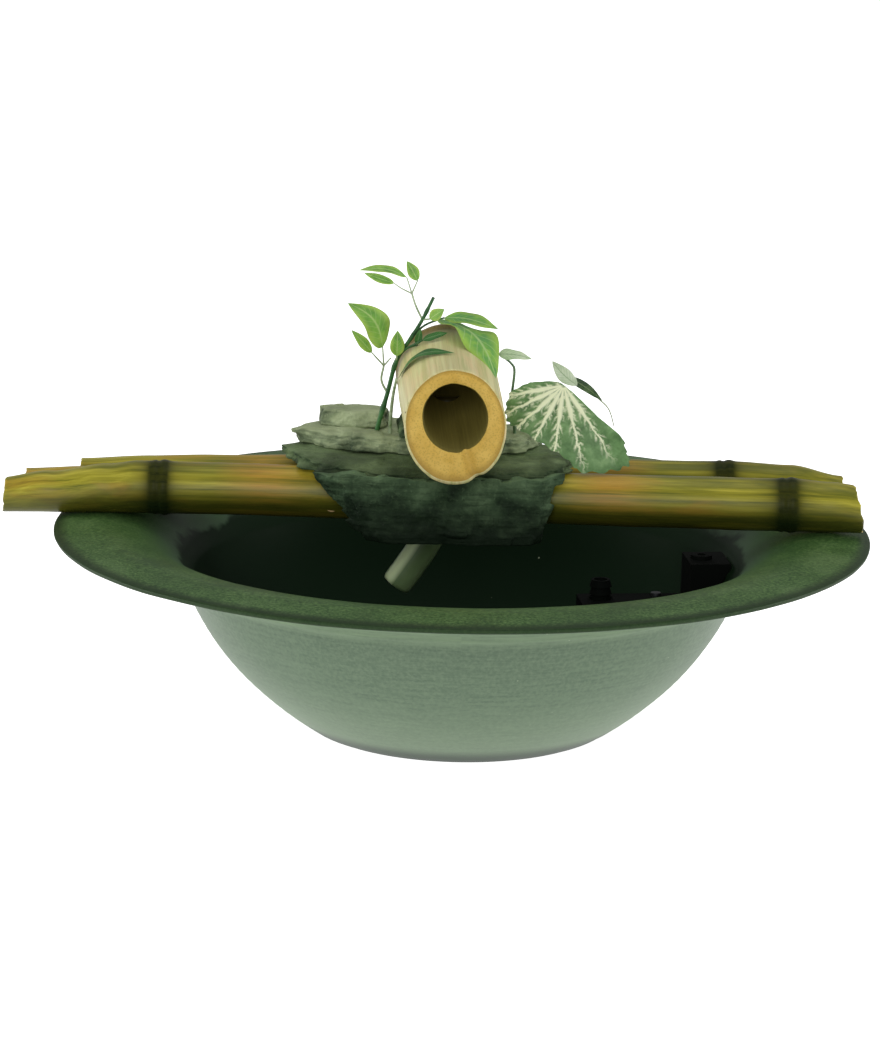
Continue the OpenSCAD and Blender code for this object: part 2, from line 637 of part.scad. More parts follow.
// Chamber cover with the intake eye, its seal and the turning flow dial
cover_t = 4;
cover_u = pump_left - cover_t - 0.02;
eye_r = 6;
dial_r = 9;
dial_t = 1.8;
dial_gap = 0.2;
dial_pin_d = 3;
dial_pin_l = 1.8;
seal_d = chamber_d + 2.6;
module chamber_cover() {
    color("#23261f") pump_frame() difference() {
        translate([cover_u, -half_w, pump_low]) cube([cover_t, pump_w, pump_top - pump_low]);
        along_u(cover_u - 1, 0, axis_z) difference() {
            cylinder(r = eye_r, h = cover_t + 2);
            translate([0, 0, -1]) cylinder(d = bush_d + 2, h = cover_t + 4);
            for (i = [0:2]) rotate([0, 0, i * 120 + 30])
                translate([-0.8, 0, -1]) cube([1.6, 20, cover_t + 4]);
        }
        along_u(front_bush_u - 0.05, 0, axis_z) cylinder(d = bush_d, h = 5);
        along_u(pump_left - 1, 0, axis_z) difference() {
            cylinder(d = seal_d + 0.1, h = 2);
            translate([0, 0, -1]) cylinder(d = seal_d - 2.1, h = 4);
        }
        along_u(cover_u - 1, 0, axis_z) cylinder(d = dial_pin_d + 2 * run_clear, h = dial_pin_l + 1.15);
    }
}
module cover_seal() {
    color("#6b4a3a") pump_frame() along_u(pump_left - 0.97, 0, axis_z) difference() {
        cylinder(d = seal_d, h = 0.95);
        translate([0, 0, -1]) cylinder(d = seal_d - 2, h = 4);
    }
}
module flow_dial() {
    color("#30352c") pump_frame() along_u(cover_u - dial_gap - dial_t, 0, axis_z) {
        difference() {
            cylinder(r = dial_r, h = dial_t);
            for (i = [0:2]) rotate([0, 0, i * 120 + 60])
                translate([1, -1.1, -1]) cube([eye_r - 1, 2.2, dial_t + 2]);
        }
        cylinder(d = dial_pin_d, h = dial_t + dial_gap + dial_pin_l);
        rotate([0, 0, 90]) translate([3, -1, -1.6]) cube([5, 2, 1.8]);
    }
}

// Outlet on the housing's top, sized to the hose's bore
spigot_d = hose_bore - 0.1;
port_d = 5;
port_seat = 4;
port_seat_d = 7.2;
port_v = chamber_r - port_d / 2 - 0.8;
module spigot_place() { translate([pump_left + chamber_depth / 2, port_v, pump_top]) children(); }
module outlet_spigot() {
    color("#262a25") pump_frame() spigot_place() difference() {
        union() {
            translate([0, 0, -port_seat + eps]) cylinder(d = port_seat_d - 0.1, h = port_seat);
            cylinder(d = spigot_d, h = 1);
            cylinder(d = spigot_d - 1.4, h = 7.4);
            for (z = [2, 4.8]) translate([0, 0, z]) cylinder(d1 = spigot_d, d2 = spigot_d - 1.4, h = 2.2);
        }
        translate([0, 0, -port_seat - 1]) cylinder(d = port_d, h = 20);
    }
}

// Terminal box on the housing's right end; its face is what shows inside the bowl
box_from = pump_right - 3;
box_low = pump_top + 0.02;
box_top = 60.5;
box_half = 10;
box_gap = 0.9;
function box_reach(z) = sqrt(pow(wall_in(z) - box_gap, 2) - box_half * box_half);
module terminal_box() {
    color("#1c1f1b") pump_frame() difference() {
        across_v(2 * box_half) polygon([[box_from, box_low], [pump_right - 0.2, box_low],
            [box_reach(box_top - 6), box_top - 6], [box_reach(box_top), box_top], [box_from, box_top]]);
        across_v(2 * (box_half - shell)) polygon([[box_from + shell, pump_top + 4.5],
            [box_from + 4, pump_top + 4.5], [box_from + 9.2, box_top - 5.5], [box_from + 9.2, box_top + 1],
            [box_from + shell, box_top + 1]]);
    }
}
lid_t = 1.4;
gland_d = 6;
gland_u = box_from + 5.6;
module terminal_lid() {
    color("#2b2f2a") pump_frame() difference() {
        translate([box_from, -box_half, box_top + 0.02])
            cube([box_reach(box_top) - box_from, 2 * box_half, lid_t]);
        translate([gland_u, 0, box_top - 1]) cylinder(d = gland_d + 0.1, h = 5);
    }
}
module cable_gland() {
    color("#17181a") pump_frame() translate([gland_u, 0, box_top + lid_t]) difference() {
        union() {
            translate([0, 0, -lid_t - 1.5]) cylinder(d = gland_d, h = lid_t + 3);
            translate([0, 0, 0.04]) cylinder(d = gland_d + 2, h = 1.4);
        }
        translate([0, 0, -5]) cylinder(d = 3.2, h = 10);
    }
}

// Suction cups on the sloping back, each square to the wall behind it
cup_stem_d = 3.4;
cup_root = 2.4;
cup_share = 0.62;
cup_turn = 5.6;
cup_spot = heel + cup_share * (hip - heel);
back_angle = atan2(hip[1] - heel[1], hip[0] - heel[0]);
cup_h = (wall_in(cup_spot[1]) - cup_spot[0] - 0.35) * sin(back_angle) - 0.65;
module cup_places() {
    for (s = [-1, 1]) rotate([0, 0, s * cup_turn]) translate([cup_spot[0] + 0.35, 0, cup_spot[1]])
        rotate([0, 180 - back_angle, 0]) children();
}
module suction_cups() {
    color("#3a4038") pump_frame() cup_places() rotate_extrude() polygon([
        [0, 0.2 - cup_root], [cup_stem_d / 2, 0.2 - cup_root], [cup_stem_d / 2, 0.9],
        [cup_d / 2, cup_h - 0.9], [cup_d / 2, cup_h - 0.2], [cup_stem_d / 2 + 0.6, 1.9], [0, 1.9]]);
}
module cap_screws() {
    color("#b8bcc0") pump_frame() cap_screw_places() {
        translate([0, 0, -4.8]) cylinder(d = screw_d, h = 4.8 + shell + 0.1);
        translate([0, 0, shell + eps]) cylinder(d = screw_d + 1.8, h = 1.1);
    }
}

bowl();
cane_front();
cane_middle();
cane_rear();
cross_pins();
slate_front();
slate_ledge();
slate_upper();
slate_cap();
spout();
water_hose();
sprig_stem();
sprig_leaves();
pale_stem();
spout_leaf();
crest_leaves();
side_stem();
side_leaf();
heart_leaf();
back_leaf();
pump_housing();
chamber_cover();
cover_seal();
flow_dial();
impeller();
rotor_magnet();
rotor_shaft();
rear_bush();
front_bush();
stator_core();
stator_coils();
housing_cap();
outlet_spigot();
terminal_box();
terminal_lid();
cable_gland();
suction_cups();
cap_screws();
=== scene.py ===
"""Looks of the zen fountain: glazed bowl, bamboo canes, slates, spout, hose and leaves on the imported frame.

Lengths are millimetres in the part's own frame and become metres when a mesh is made.
"""
import math

import bpy
from mathutils import Matrix, Vector, noise


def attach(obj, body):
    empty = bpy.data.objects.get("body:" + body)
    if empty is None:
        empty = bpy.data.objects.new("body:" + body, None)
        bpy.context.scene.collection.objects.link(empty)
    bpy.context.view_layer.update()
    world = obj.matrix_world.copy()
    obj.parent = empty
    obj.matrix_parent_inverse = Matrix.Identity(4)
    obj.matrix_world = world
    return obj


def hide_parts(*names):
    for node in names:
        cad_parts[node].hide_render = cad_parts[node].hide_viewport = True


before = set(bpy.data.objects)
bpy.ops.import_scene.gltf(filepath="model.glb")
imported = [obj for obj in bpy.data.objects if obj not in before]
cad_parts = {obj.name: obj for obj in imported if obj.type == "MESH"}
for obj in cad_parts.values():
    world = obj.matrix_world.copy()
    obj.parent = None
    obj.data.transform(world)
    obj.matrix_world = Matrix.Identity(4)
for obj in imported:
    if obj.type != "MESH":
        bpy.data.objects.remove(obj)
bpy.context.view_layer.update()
MM = 0.001


# Colours and shader helpers

def lit(tone):
    """Linear light with full alpha, from a grey of 0 to 1, or from red, green and blue as they are seen, of
    0 to 255. A socket or a colour that has its alpha stays as it is."""
    if isinstance(tone, (int, float)):
        return tone, tone, tone, 1.0
    if isinstance(tone, tuple) and len(tone) == 3:
        return *(c / 255 / 12.92 if c <= 10 else ((c / 255 + 0.055) / 1.055) ** 2.4 for c in tone), 1.0
    return tone


def darker(tone, share, lift=0.0):
    """A share of a tone's light, with a little added."""
    return *(share * c + lift for c in lit(tone)[:3]), 1.0


def add_node(tree, kind, inputs=(), **settings):
    """A new node: its settings by name, and its inputs by name or number, linked or as a value."""
    node = tree.nodes.new(kind)
    for key, value in settings.items():
        setattr(node, key, value)
    for key, value in dict(inputs).items():
        if isinstance(value, bpy.types.NodeSocket):
            tree.links.new(value, node.inputs[key])
        else:
            node.inputs[key].default_value = value
    return node


class Shader:
    """A material with one principled shader, and short calls for the nodes that feed it."""

    def __init__(self, name, roughness=0.5, specular=0.5, metallic=0.0, coat=0.0, colour=None):
        self.mat = bpy.data.materials.new(name)
        self.mat.use_nodes = True
        self.tree = self.mat.node_tree
        self.bsdf = next(n for n in self.tree.nodes if n.type == "BSDF_PRINCIPLED")
        self.set("Roughness", roughness)
        self.set("Specular IOR Level", specular)
        self.set("Metallic", metallic)
        self.set("Coat Weight", coat)
        if colour:
            self.set("Base Color", lit(colour))

    def set(self, socket, value):
        self.bsdf.inputs[socket].default_value = value

    def feed(self, socket, source):
        self.tree.links.new(source, self.bsdf.inputs[socket])

    def node(self, kind, inputs=(), **settings):
        return add_node(self.tree, kind, inputs, **settings)

    def value(self, name):
        """A number that add_value gave to each vertex."""
        return self.node("ShaderNodeAttribute", attribute_name=name).outputs["Fac"]

    def grain(self):
        """The piece's own coordinates in millimetres, from its grain attribute."""
        return self.node("ShaderNodeAttribute", attribute_name="grain").outputs["Vector"]

    def place(self):
        """Coordinates in the part's frame, in metres."""
        return self.node("ShaderNodeTexCoord").outputs["Object"]

    def scaled(self, vector, scale, offset=(0, 0, 0)):
        inputs = {"Vector": vector, "Scale": scale, "Location": offset}
        return self.node("ShaderNodeMapping", inputs).outputs["Vector"]

    def noise(self, vector, scale, detail=4.0, rough=0.55, warp=0.0):
        inputs = {"Vector": vector, "Scale": scale, "Detail": detail, "Roughness": rough, "Distortion": warp}
        return self.node("ShaderNodeTexNoise", inputs).outputs["Fac"]

    def cells(self, vector, scale):
        """Distance from the middle of scattered cells."""
        return self.node("ShaderNodeTexVoronoi", {"Vector": vector, "Scale": scale}).outputs["Distance"]

    def ramp(self, fac, *stops):
        """A colour ramp: each stop is a place from 0 to 1 and a tone."""
        n = self.node("ShaderNodeValToRGB", {"Fac": fac})
        while len(n.color_ramp.elements) < len(stops):
            n.color_ramp.elements.new(0.5)
        for element, (at, value) in zip(n.color_ramp.elements, stops):
            element.position = at
            element.color = lit(value)
        return n.outputs["Color"]

    def mix(self, fac, a, b):
        """From tone a to tone b as fac goes from 0 to 1."""
        return self.node("ShaderNodeMix", {0: fac, 6: lit(a), 7: lit(b)}, data_type="RGBA").outputs[2]

    def over(self, share, tone):
        """Lays a tone over the colour so far."""
        self.colour = self.mix(share, self.colour, tone)

    def math(self, how, a, b=0.5):
        return self.node("ShaderNodeMath", {0: a, 1: b}, operation=how).outputs[0]

    def times(self, a, b):
        return self.math("MULTIPLY", a, b)

    def plus(self, a, b):
        return self.math("ADD", a, b)

    def minus(self, a, b):
        return self.math("SUBTRACT", a, b)

    def larger(self, a, b):
        return self.math("MAXIMUM", a, b)

    def parts(self, vector):
        """The three coordinates of a vector."""
        return self.node("ShaderNodeSeparateXYZ", {"Vector": vector}).outputs

    def bump(self, height, distance, strength=1.0):
        """Relief of a real height in millimetres."""
        n = self.node("ShaderNodeBump", {"Height": height, "Distance": distance * MM, "Strength": strength})
        if self.bsdf.inputs["Normal"].is_linked:
            self.tree.links.new(self.bsdf.inputs["Normal"].links[0].from_socket, n.inputs["Normal"])
        self.feed("Normal", n.outputs["Normal"])


# Mesh helpers

def make_object(name, verts, faces, grain=None, smooth=True):
    """A mesh object from points in millimetres, with its grain coordinates where a shader needs them."""
    mesh = bpy.data.meshes.new(name)
    mesh.from_pydata([tuple(MM * c for c in v) for v in verts], [], faces)
    if grain:
        layer = mesh.attributes.new("grain", "FLOAT_VECTOR", "POINT")
        layer.data.foreach_set("vector", [c for g in grain for c in g])
    mesh.update()
    mesh.validate()
    mesh.polygons.foreach_set("use_smooth", [smooth] * len(mesh.polygons))
    obj = bpy.data.objects.new(name, mesh)
    bpy.context.scene.collection.objects.link(obj)
    return obj


def add_value(obj, name, values):
    """A named number for each vertex, for a shader to read."""
    layer = obj.data.attributes.new(name, "FLOAT", "POINT")
    layer.data.foreach_set("value", values)


def finish_piece(obj, materials, body, node):
    """Gives a piece its materials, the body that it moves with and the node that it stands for."""
    for material in materials:
        obj.data.materials.append(material)
    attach(obj, body)
    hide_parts(node)


def loft_faces(rings, sides, closed=False, lids=False):
    """Quads between rings of the same number of points, each ring running round, and lids on the two ends."""
    faces = []
    for i in range(rings if closed else rings - 1):
        j = (i + 1) % rings
        for k in range(sides):
            k2 = (k + 1) % sides
            faces.append((i * sides + k, i * sides + k2, j * sides + k2, j * sides + k))
    if lids:
        faces += [tuple(range(sides))[::-1], tuple(range((rings - 1) * sides, rings * sides))]
    return faces


def turned(faces, start=0):
    """The faces with their other side out, for points that are numbered from start."""
    return [tuple(start + v for v in f[::-1]) for f in faces]


def bez(a, b, c, t):
    """Point at t on the curve from a to c that is drawn towards b."""
    return tuple((1 - t) ** 2 * p + 2 * t * (1 - t) * q + t * t * r for p, q, r in zip(a, b, c))


def interp(x, table):
    """Smooth value at x in a table of (x, value) that rises in x."""
    if x <= table[0][0]:
        return table[0][1]
    for (x0, y0), (x1, y1) in zip(table, table[1:]):
        if x <= x1:
            t = (x - x0) / (x1 - x0)
            return y0 + (y1 - y0) * t * t * (3 - 2 * t)
    return table[-1][1]


def curve_through(points, steps):
    """Points along a smooth curve through the given ones."""
    pts = [Vector(p) for p in points]
    pts = [2 * pts[0] - pts[1]] + pts + [2 * pts[-1] - pts[-2]]
    line = []
    for a, b, c, d in zip(pts, pts[1:], pts[2:], pts[3:]):
        for i in range(steps):
            t = i / steps
            line.append(0.5 * (2 * b + (c - a) * t + (2 * a - 5 * b + 4 * c - d) * t * t
                               + (3 * b - a - 3 * c + d) * t ** 3))
    line.append(pts[-2])
    return line


def frames_along(line):
    """At each point of a line its direction and two directions across, turned as little as possible."""
    across = None
    result = []
    for i, p in enumerate(line):
        ahead = (line[min(i + 1, len(line) - 1)] - line[max(i - 1, 0)]).normalized()
        if across is None:
            across = ahead.cross(Vector((0, 1, 0) if abs(ahead.y) < 0.8 else (1, 0, 0)))
        across = (across - across.dot(ahead) * ahead).normalized()
        result.append((p, across.copy(), ahead.cross(across)))
    return result


def rough(p, size, seed=0.0, octaves=3):
    """Even noise about 0 at a point in millimetres, with features of a size in millimetres."""
    return noise.fractal(Vector((p[0] / size + seed, p[1] / size - seed, p[2] / size + 2 * seed)),
                         0.6, 2.0, octaves)


# Camera: fitted to the rim's ellipse, the foot and the canes in the photograph

PHOTO_H = 1044         # height of the photograph in pixels
FOCAL_PIXELS = 3519    # focal length in pixels of the photograph
SENSOR_H = 36
CAMERA_ELEVATION = 13.0
CAMERA_ROLL = 1.09
CAMERA_DISTANCE = 1300
CAMERA_TARGET = Vector((-8.1, 0, 76.0))


def make_camera():
    """A camera in front of the bowl, tilted down by its elevation and rolled about its view."""
    tilt = math.radians(CAMERA_ELEVATION)
    roll = math.radians(CAMERA_ROLL)
    ahead = Vector((0, math.cos(tilt), -math.sin(tilt)))
    level = Vector((1, 0, 0))
    upright = level.cross(ahead)
    right = level * math.cos(roll) + upright * math.sin(roll)
    up = upright * math.cos(roll) - level * math.sin(roll)
    data = bpy.data.cameras.new("camera")
    data.sensor_fit = "VERTICAL"
    data.sensor_height = SENSOR_H
    data.lens = FOCAL_PIXELS / PHOTO_H * SENSOR_H
    data.clip_start = 0.05
    camera = bpy.data.objects.new("camera", data)
    bpy.context.scene.collection.objects.link(camera)
    place = Matrix((right, up, -ahead)).transposed().to_4x4()
    place.translation = (CAMERA_TARGET - CAMERA_DISTANCE * ahead) * MM
    camera.matrix_world = place
    bpy.context.scene.camera = camera


make_camera()


# Water hose: the route of the part's source, from inside the spout down into the bowl

HOSE_D = 11.5
HOSE_BORE = 8.5
HOSE_ROUTE = [
    (-6.6, 16.8, 120.7), (-6.6, 16.8, 115), (-6.6, 16.8, 110), (-6.6, 16.8, 105), (-6.6, 16.8, 100),
    (-6.6, 16.8, 95.5), (-6.6, 16.8, 91), (-6.9, 16.8, 85.4), (-7.7, 16.8, 79.9), (-9.1, 16.8, 74.4),
    (-11, 16.8, 69.2), (-13.4, 16.8, 64.2), (-16.3, 16.8, 59.4), (-18.3, 16.8, 56.5),
    (-20.2, 16.8, 53.6), (-22.2, 16.8, 50.7), (-24.2, 16.8, 47.8)]
HOSE_HIGHLIGHT_SIDE = Vector((-0.66, -0.6, 0.44)).normalized()    # side of the hose that has the painted highlight streak


def hose_material():
    """Grey green rubber with a painted highlight streak along one side, and painted shade inside the spout.
    """
    s = Shader("hose", roughness=0.28, specular=0.5, coat=0.15)
    place = s.place()
    height = s.times(s.parts(place)[2], 5)
    green = s.ramp(s.noise(place, 60, 3), (0.3, (90, 112, 72)), (0.7, (112, 134, 92)))
    # painted highlight: a pale streak along the hose's front left side
    highlight_streak = s.ramp(s.value("highlight_streak"), (0.8, 0), (0.99, 1))
    green = s.mix(highlight_streak, green, (226, 246, 190))
    # painted shade: darker where the hose runs up inside the spout
    spout_shade = s.ramp(height, (0.45, 0), (0.52, 1))
    s.feed("Base Color", s.mix(spout_shade, green, (60, 54, 24)))
    s.set("Subsurface Weight", 0.25)
    s.set("Subsurface Radius", (0.004, 0.004, 0.003))
    s.set("Subsurface Scale", 1.0)
    return s.mat


def make_hose():
    """One closed tube wall with softened ends."""
    sides = 40
    line = curve_through(HOSE_ROUTE, 3)
    spots = frames_along(line)
    verts, highlight_streak = [], []
    for radius, order in ((HOSE_D / 2, spots), (HOSE_BORE / 2, spots[::-1])):
        for n, (p, a, b) in enumerate(order):
            soft = 0.35 if n in (0, len(order) - 1) else 0
            r = radius - soft if radius == HOSE_D / 2 else radius + soft
            for k in range(sides):
                turn = 2 * math.pi * k / sides
                out = math.cos(turn) * a + math.sin(turn) * b
                verts.append(p + r * out)
                # painted highlight: how much each outer point faces the side of the streak
                highlight_streak.append(max(0.0, out.dot(HOSE_HIGHLIGHT_SIDE)) if radius == HOSE_D / 2 else 0.0)
    hose = make_object("water_hose_tube", verts, loft_faces(2 * len(line), sides, closed=True))
    add_value(hose, "highlight_streak", highlight_streak)
    finish_piece(hose, [hose_material()], "raft", "water_hose")


make_hose()


# Bowl: a lathe form with faint throwing rings, thin rolled lip and a painted highlight band on the collar

RIM_R = 150
BOWL_H = 76
FOOT_R = 55
WALL = 4.5
COLLAR_R = 104
COLLAR_Z = BOWL_H - 19
CREST_R = RIM_R - 19
LIP_T = 3.2
THROAT_R = COLLAR_R - WALL


def bowl_outline():
    """Radius and height along the bowl's section, from under the foot, over the rim, to the floor."""
    foot = (FOOT_R, 0.6)
    belly = (FOOT_R + 0.745 * (COLLAR_R - FOOT_R), 0.41 * COLLAR_Z)
    shoulder = (COLLAR_R - 0.8, COLLAR_Z)
    collar = (COLLAR_R + 0.9, COLLAR_Z + 3)
    under = (RIM_R - 2, BOWL_H - LIP_T - 0.3)
    edge = (RIM_R, BOWL_H - LIP_T + 1.4)
    top = (CREST_R + 9, BOWL_H - 0.3)
    crest = (CREST_R, BOWL_H)

    def wall(t, inside):
        r, z = bez((FOOT_R, 0), belly, shoulder, t)
        ahead = Vector(bez((FOOT_R, 0), belly, shoulder, min(t + 0.01, 1))) \
            - Vector(bez((FOOT_R, 0), belly, shoulder, max(t - 0.01, 0)))
        ahead.normalize()
        return (r - inside * WALL * ahead.y, z + inside * WALL * ahead.x)

    line = [(0.01, 2.2), (40, 2.2), (FOOT_R - 7, 2.0), (FOOT_R - 5.5, 0.3), (FOOT_R - 4, 0), (FOOT_R - 1, 0),
            foot]
    line += [wall(i / 40, 0) for i in range(1, 41)]
    line += [(COLLAR_R, COLLAR_Z + 0.5), (COLLAR_R + 0.5, COLLAR_Z + 1.6), collar]
    line += [bez(collar, (COLLAR_R + 12, under[1] - 1), under, i / 12) for i in range(1, 13)]
    line += [bez(under, (RIM_R, under[1]), edge, i / 6) for i in range(1, 7)]
    line += [bez(edge, (RIM_R - 0.4, top[1] - 0.6), top, i / 14) for i in range(1, 15)]
    line += [(CREST_R + 4, BOWL_H), crest]
    throat = (THROAT_R + 2, COLLAR_Z + 4)
    line += [bez(crest, (CREST_R - 20, BOWL_H - 1.5), throat, i / 16) for i in range(1, 17)]
    line += [wall(i / 40, 1) for i in range(40, 0, -1)]
    line += [(FOOT_R - 6, WALL), (30, WALL), (0.01, WALL)]
    return line


def glaze_material():
    """Reactive glaze: mottled rim with painted shade on its lip, brushed outside with a painted highlight
    band at the collar and painted floor light towards the foot, painted dark shade inside.
    """
    s = Shader("glaze", specular=0.5, coat=0.0)
    place = s.place()
    x, y, z = s.parts(place)
    reach = s.math("POWER", s.plus(s.times(x, x), s.times(y, y)), 0.5)
    inside = s.value("inside")
    # mottled green of the rim
    fine = s.noise(place, 900, 3, 0.7)
    broad = s.noise(place, 26, 4, 0.6)
    rim = s.ramp(fine, (0.32, (34, 66, 26)), (0.5, (66, 102, 48)), (0.72, (112, 142, 84)))
    rim = s.mix(s.ramp(broad, (0.35, 0.5), (0.52, 0)), rim, (40, 66, 32))
    rim = s.mix(s.ramp(broad, (0.5, 0), (0.68, 0.45)), rim, (112, 138, 90))
    # grey green body, brushed round, with painted floor light that makes it paler towards the foot
    round_grain = s.node("ShaderNodeCombineXYZ", {"X": s.times(reach, 40), "Y": s.times(z, 900),
                                                  "Z": s.times(s.math("ARCTAN2", x, y), 5)})
    brushed = s.noise(round_grain.outputs[0], 1.0, 4, 0.65)
    body = s.ramp(brushed, (0.3, (80, 101, 80)), (0.7, (97, 118, 94)))
    body = s.mix(s.ramp(s.noise(place, 700, 2, 0.6), (0.35, 0), (0.75, 0.45)), body, (124, 144, 116))
    pale = s.ramp(z, (0.0, 0.55), (0.035, 0))
    body = s.mix(pale, body, (138, 158, 128))
    # dark line at the foot; painted highlight: a lighter band on the collar under the lip
    foot = s.ramp(z, (0.003, 1), (0.0066, 0))
    body = s.mix(foot, body, (18, 44, 24))
    collar = s.times(s.ramp(z, (0.0563, 0), (0.0585, 1), (0.0618, 1), (0.0645, 0)),
                     s.ramp(brushed, (0.3, 0.35), (0.65, 1)))
    body = s.mix(collar, body, (122, 144, 112))
    # painted shade: the lip's outer edge darkened
    lip = s.ramp(reach, (0.1455, 0), (0.1485, 0.9))
    rim = s.mix(lip, rim, (26, 48, 18))
    rim_share = s.ramp(z, (0.0625, 0), (0.067, 1))
    outside = s.mix(rim_share, body, rim)
    # painted shade inside: darker with depth to near black, with a lighter painted band where light falls on
    # the throat
    depth = s.plus(z, s.times(s.minus(broad, 0.5), 0.02))
    inside_shade = s.ramp(s.times(depth, 10), (0.45, (22, 40, 24)), (0.63, (26, 44, 26)), (0.65, (76, 100, 74)),
                  (0.7, (70, 98, 62)), (0.755, (70, 98, 58)))
    inner = s.mix(s.ramp(z, (0.0715, 0), (0.0752, 1)), inside_shade, rim)
    s.colour = s.mix(inside, outside, inner)
    # a few pale specks in the glaze
    specks = s.ramp(s.cells(place, 120), (0.0, 1), (0.055, 0))
    rare = s.ramp(s.noise(place, 14, 1), (0.62, 0), (0.66, 1))
    s.over(s.times(specks, rare), (196, 208, 176))
    s.feed("Base Color", s.colour)
    satin = s.mix(inside, rim_share, 0.6)
    s.feed("Roughness", s.ramp(satin, (0.0, 0.36), (0.6, 0.45), (1.0, 0.52)))
    wet = s.times(inside, s.ramp(z, (0.064, 1), (0.0755, 0)))
    dry = s.mix(rim_share, 0.5, 0.22)
    s.feed("Specular IOR Level", s.mix(wet, dry, 0.04))
    s.bump(fine, 0.05, 0.5)
    s.bump(brushed, 0.08, 0.5)
    return s.mat


def make_bowl():
    """The section turned about Z, with a slightly uneven rim as on a thrown pot."""
    sides = 288
    line = bowl_outline()
    crest_at = max(range(len(line)), key=lambda i: line[i][1])
    verts, inside = [], []
    for n, (r, z) in enumerate(line):
        for k in range(sides):
            turn = 2 * math.pi * k / sides
            out = Vector((math.cos(turn), math.sin(turn), 0))
            wave = 0.25 * rough(out * r + Vector((0, 0, z)), 60, 3.1) if r > 60 else 0
            rings = 0.06 * math.sin(z * 2.1 + 0.4 * math.sin(turn)) if 4 < z < 56 and n < crest_at else 0
            p = out * (r + wave + rings)
            verts.append((p.x, p.y, z + (0.12 * rough(out * r, 45, 7.7) if z > 60 else 0)))
            inside.append(1.0 if n > crest_at else 0.0)
    bowl = make_object("bowl_glazed", verts, turned(loft_faces(len(line), sides, lids=True)))
    add_value(bowl, "inside", inside)
    finish_piece(bowl, [glaze_material()], "bowl", "bowl")


# Bamboo: canes and spout share one skin, with a paler or a greener tone

def bamboo_skin(name, light, mid, dark, blush, node_tone, roughness=0.36, blush_at=()):
    """Satin bamboo skin in streaks along the cane, with painted shade on its lower side and brown blushes at
    chosen places.
    """
    s = Shader(name, roughness=roughness, specular=0.28)
    grain = s.grain()
    streaks = s.noise(s.scaled(grain, (0.012, 0.5, 0.5)), 1.0, 5, 0.6)
    fibres = s.noise(s.scaled(grain, (0.03, 3.0, 3.0)), 1.0, 3, 0.6)
    patches = s.noise(s.scaled(grain, (0.03, 0.09, 0.09), (3, 1, 0)), 1.0, 3, 0.6, 0.4)
    stains = s.noise(s.scaled(grain, (0.016, 0.12, 0.12), (11, 5, 2)), 1.0, 4, 0.6, 0.3)
    s.colour = s.ramp(streaks, (0.3, dark), (0.47, mid), (0.66, light))
    s.over(s.ramp(patches, (0.52, 0), (0.72, 0.5)), blush)
    s.over(s.ramp(stains, (0.5, 0), (0.66, 0.8)), dark)
    for place in blush_at:
        far = s.math("ABSOLUTE", s.minus(s.parts(grain)[0], place))
        near = s.ramp(s.times(far, 0.03), (0.1, 0.7), (0.6, 0))
        s.over(s.times(near, s.ramp(streaks, (0.35, 0.25), (0.55, 1))), blush)
    # painted shade: the lower side of the cane darkened, broken up by the stains
    under = s.times(s.value("under"), s.ramp(stains, (0.35, 0.8), (0.6, 1)))
    s.over(under, darker(dark, 0.3, 0.003))
    s.over(s.ramp(fibres, (0.4, 0.22), (0.62, 0)), dark)
    spots = s.ramp(s.cells(s.scaled(grain, (0.12, 0.3, 0.3)), 1.0), (0.06, 0.8), (0.12, 0))
    rare = s.ramp(s.noise(s.scaled(grain, (0.03, 0.05, 0.05), (7, 7, 7)), 1.0, 2), (0.58, 0), (0.66, 1))
    s.over(s.times(spots, rare), (50, 42, 22))
    ring = s.times(s.value("ring"), s.ramp(streaks, (0.2, 0.75), (0.7, 1)))
    s.over(ring, node_tone)
    s.feed("Base Color", s.colour)
    s.feed("Specular IOR Level", s.mix(ring, 0.28, 0.04))
    s.bump(fibres, 0.06, 0.6)
    s.bump(streaks, 0.25, 0.35)
    return s.mat


def bamboo_cut(name, light, dark, edge):
    """Sawn end grain: dots of fibre bundles, denser and darker towards the skin."""
    s = Shader(name, roughness=0.6, specular=0.3)
    place = s.place()
    dots = s.ramp(s.cells(place, 1300), (0.2, 1), (0.5, 0))
    cloud = s.noise(place, 150, 4, 0.6)
    s.colour = s.ramp(cloud, (0.3, dark), (0.65, light))
    s.over(s.times(dots, 0.35), edge)
    rind = s.value("rind")
    s.over(s.ramp(rind, (0.72, 0), (0.97, 0.7)), edge)
    s.feed("Base Color", s.colour)
    s.bump(s.noise(place, 800, 3, 0.6), 0.15, 0.7)
    return s.mat


def bamboo_bore(name, tone):
    """Inner wall of a cane, with fine fibres along it."""
    s = Shader(name, roughness=0.7, specular=0.2)
    fibres = s.noise(s.scaled(s.grain(), (0.03, 1.5, 1.5)), 1.0, 3)
    s.feed("Base Color", s.mix(fibres, tone, darker(tone, 0.55)))
    s.bump(fibres, 0.1, 0.6)
    return s.mat


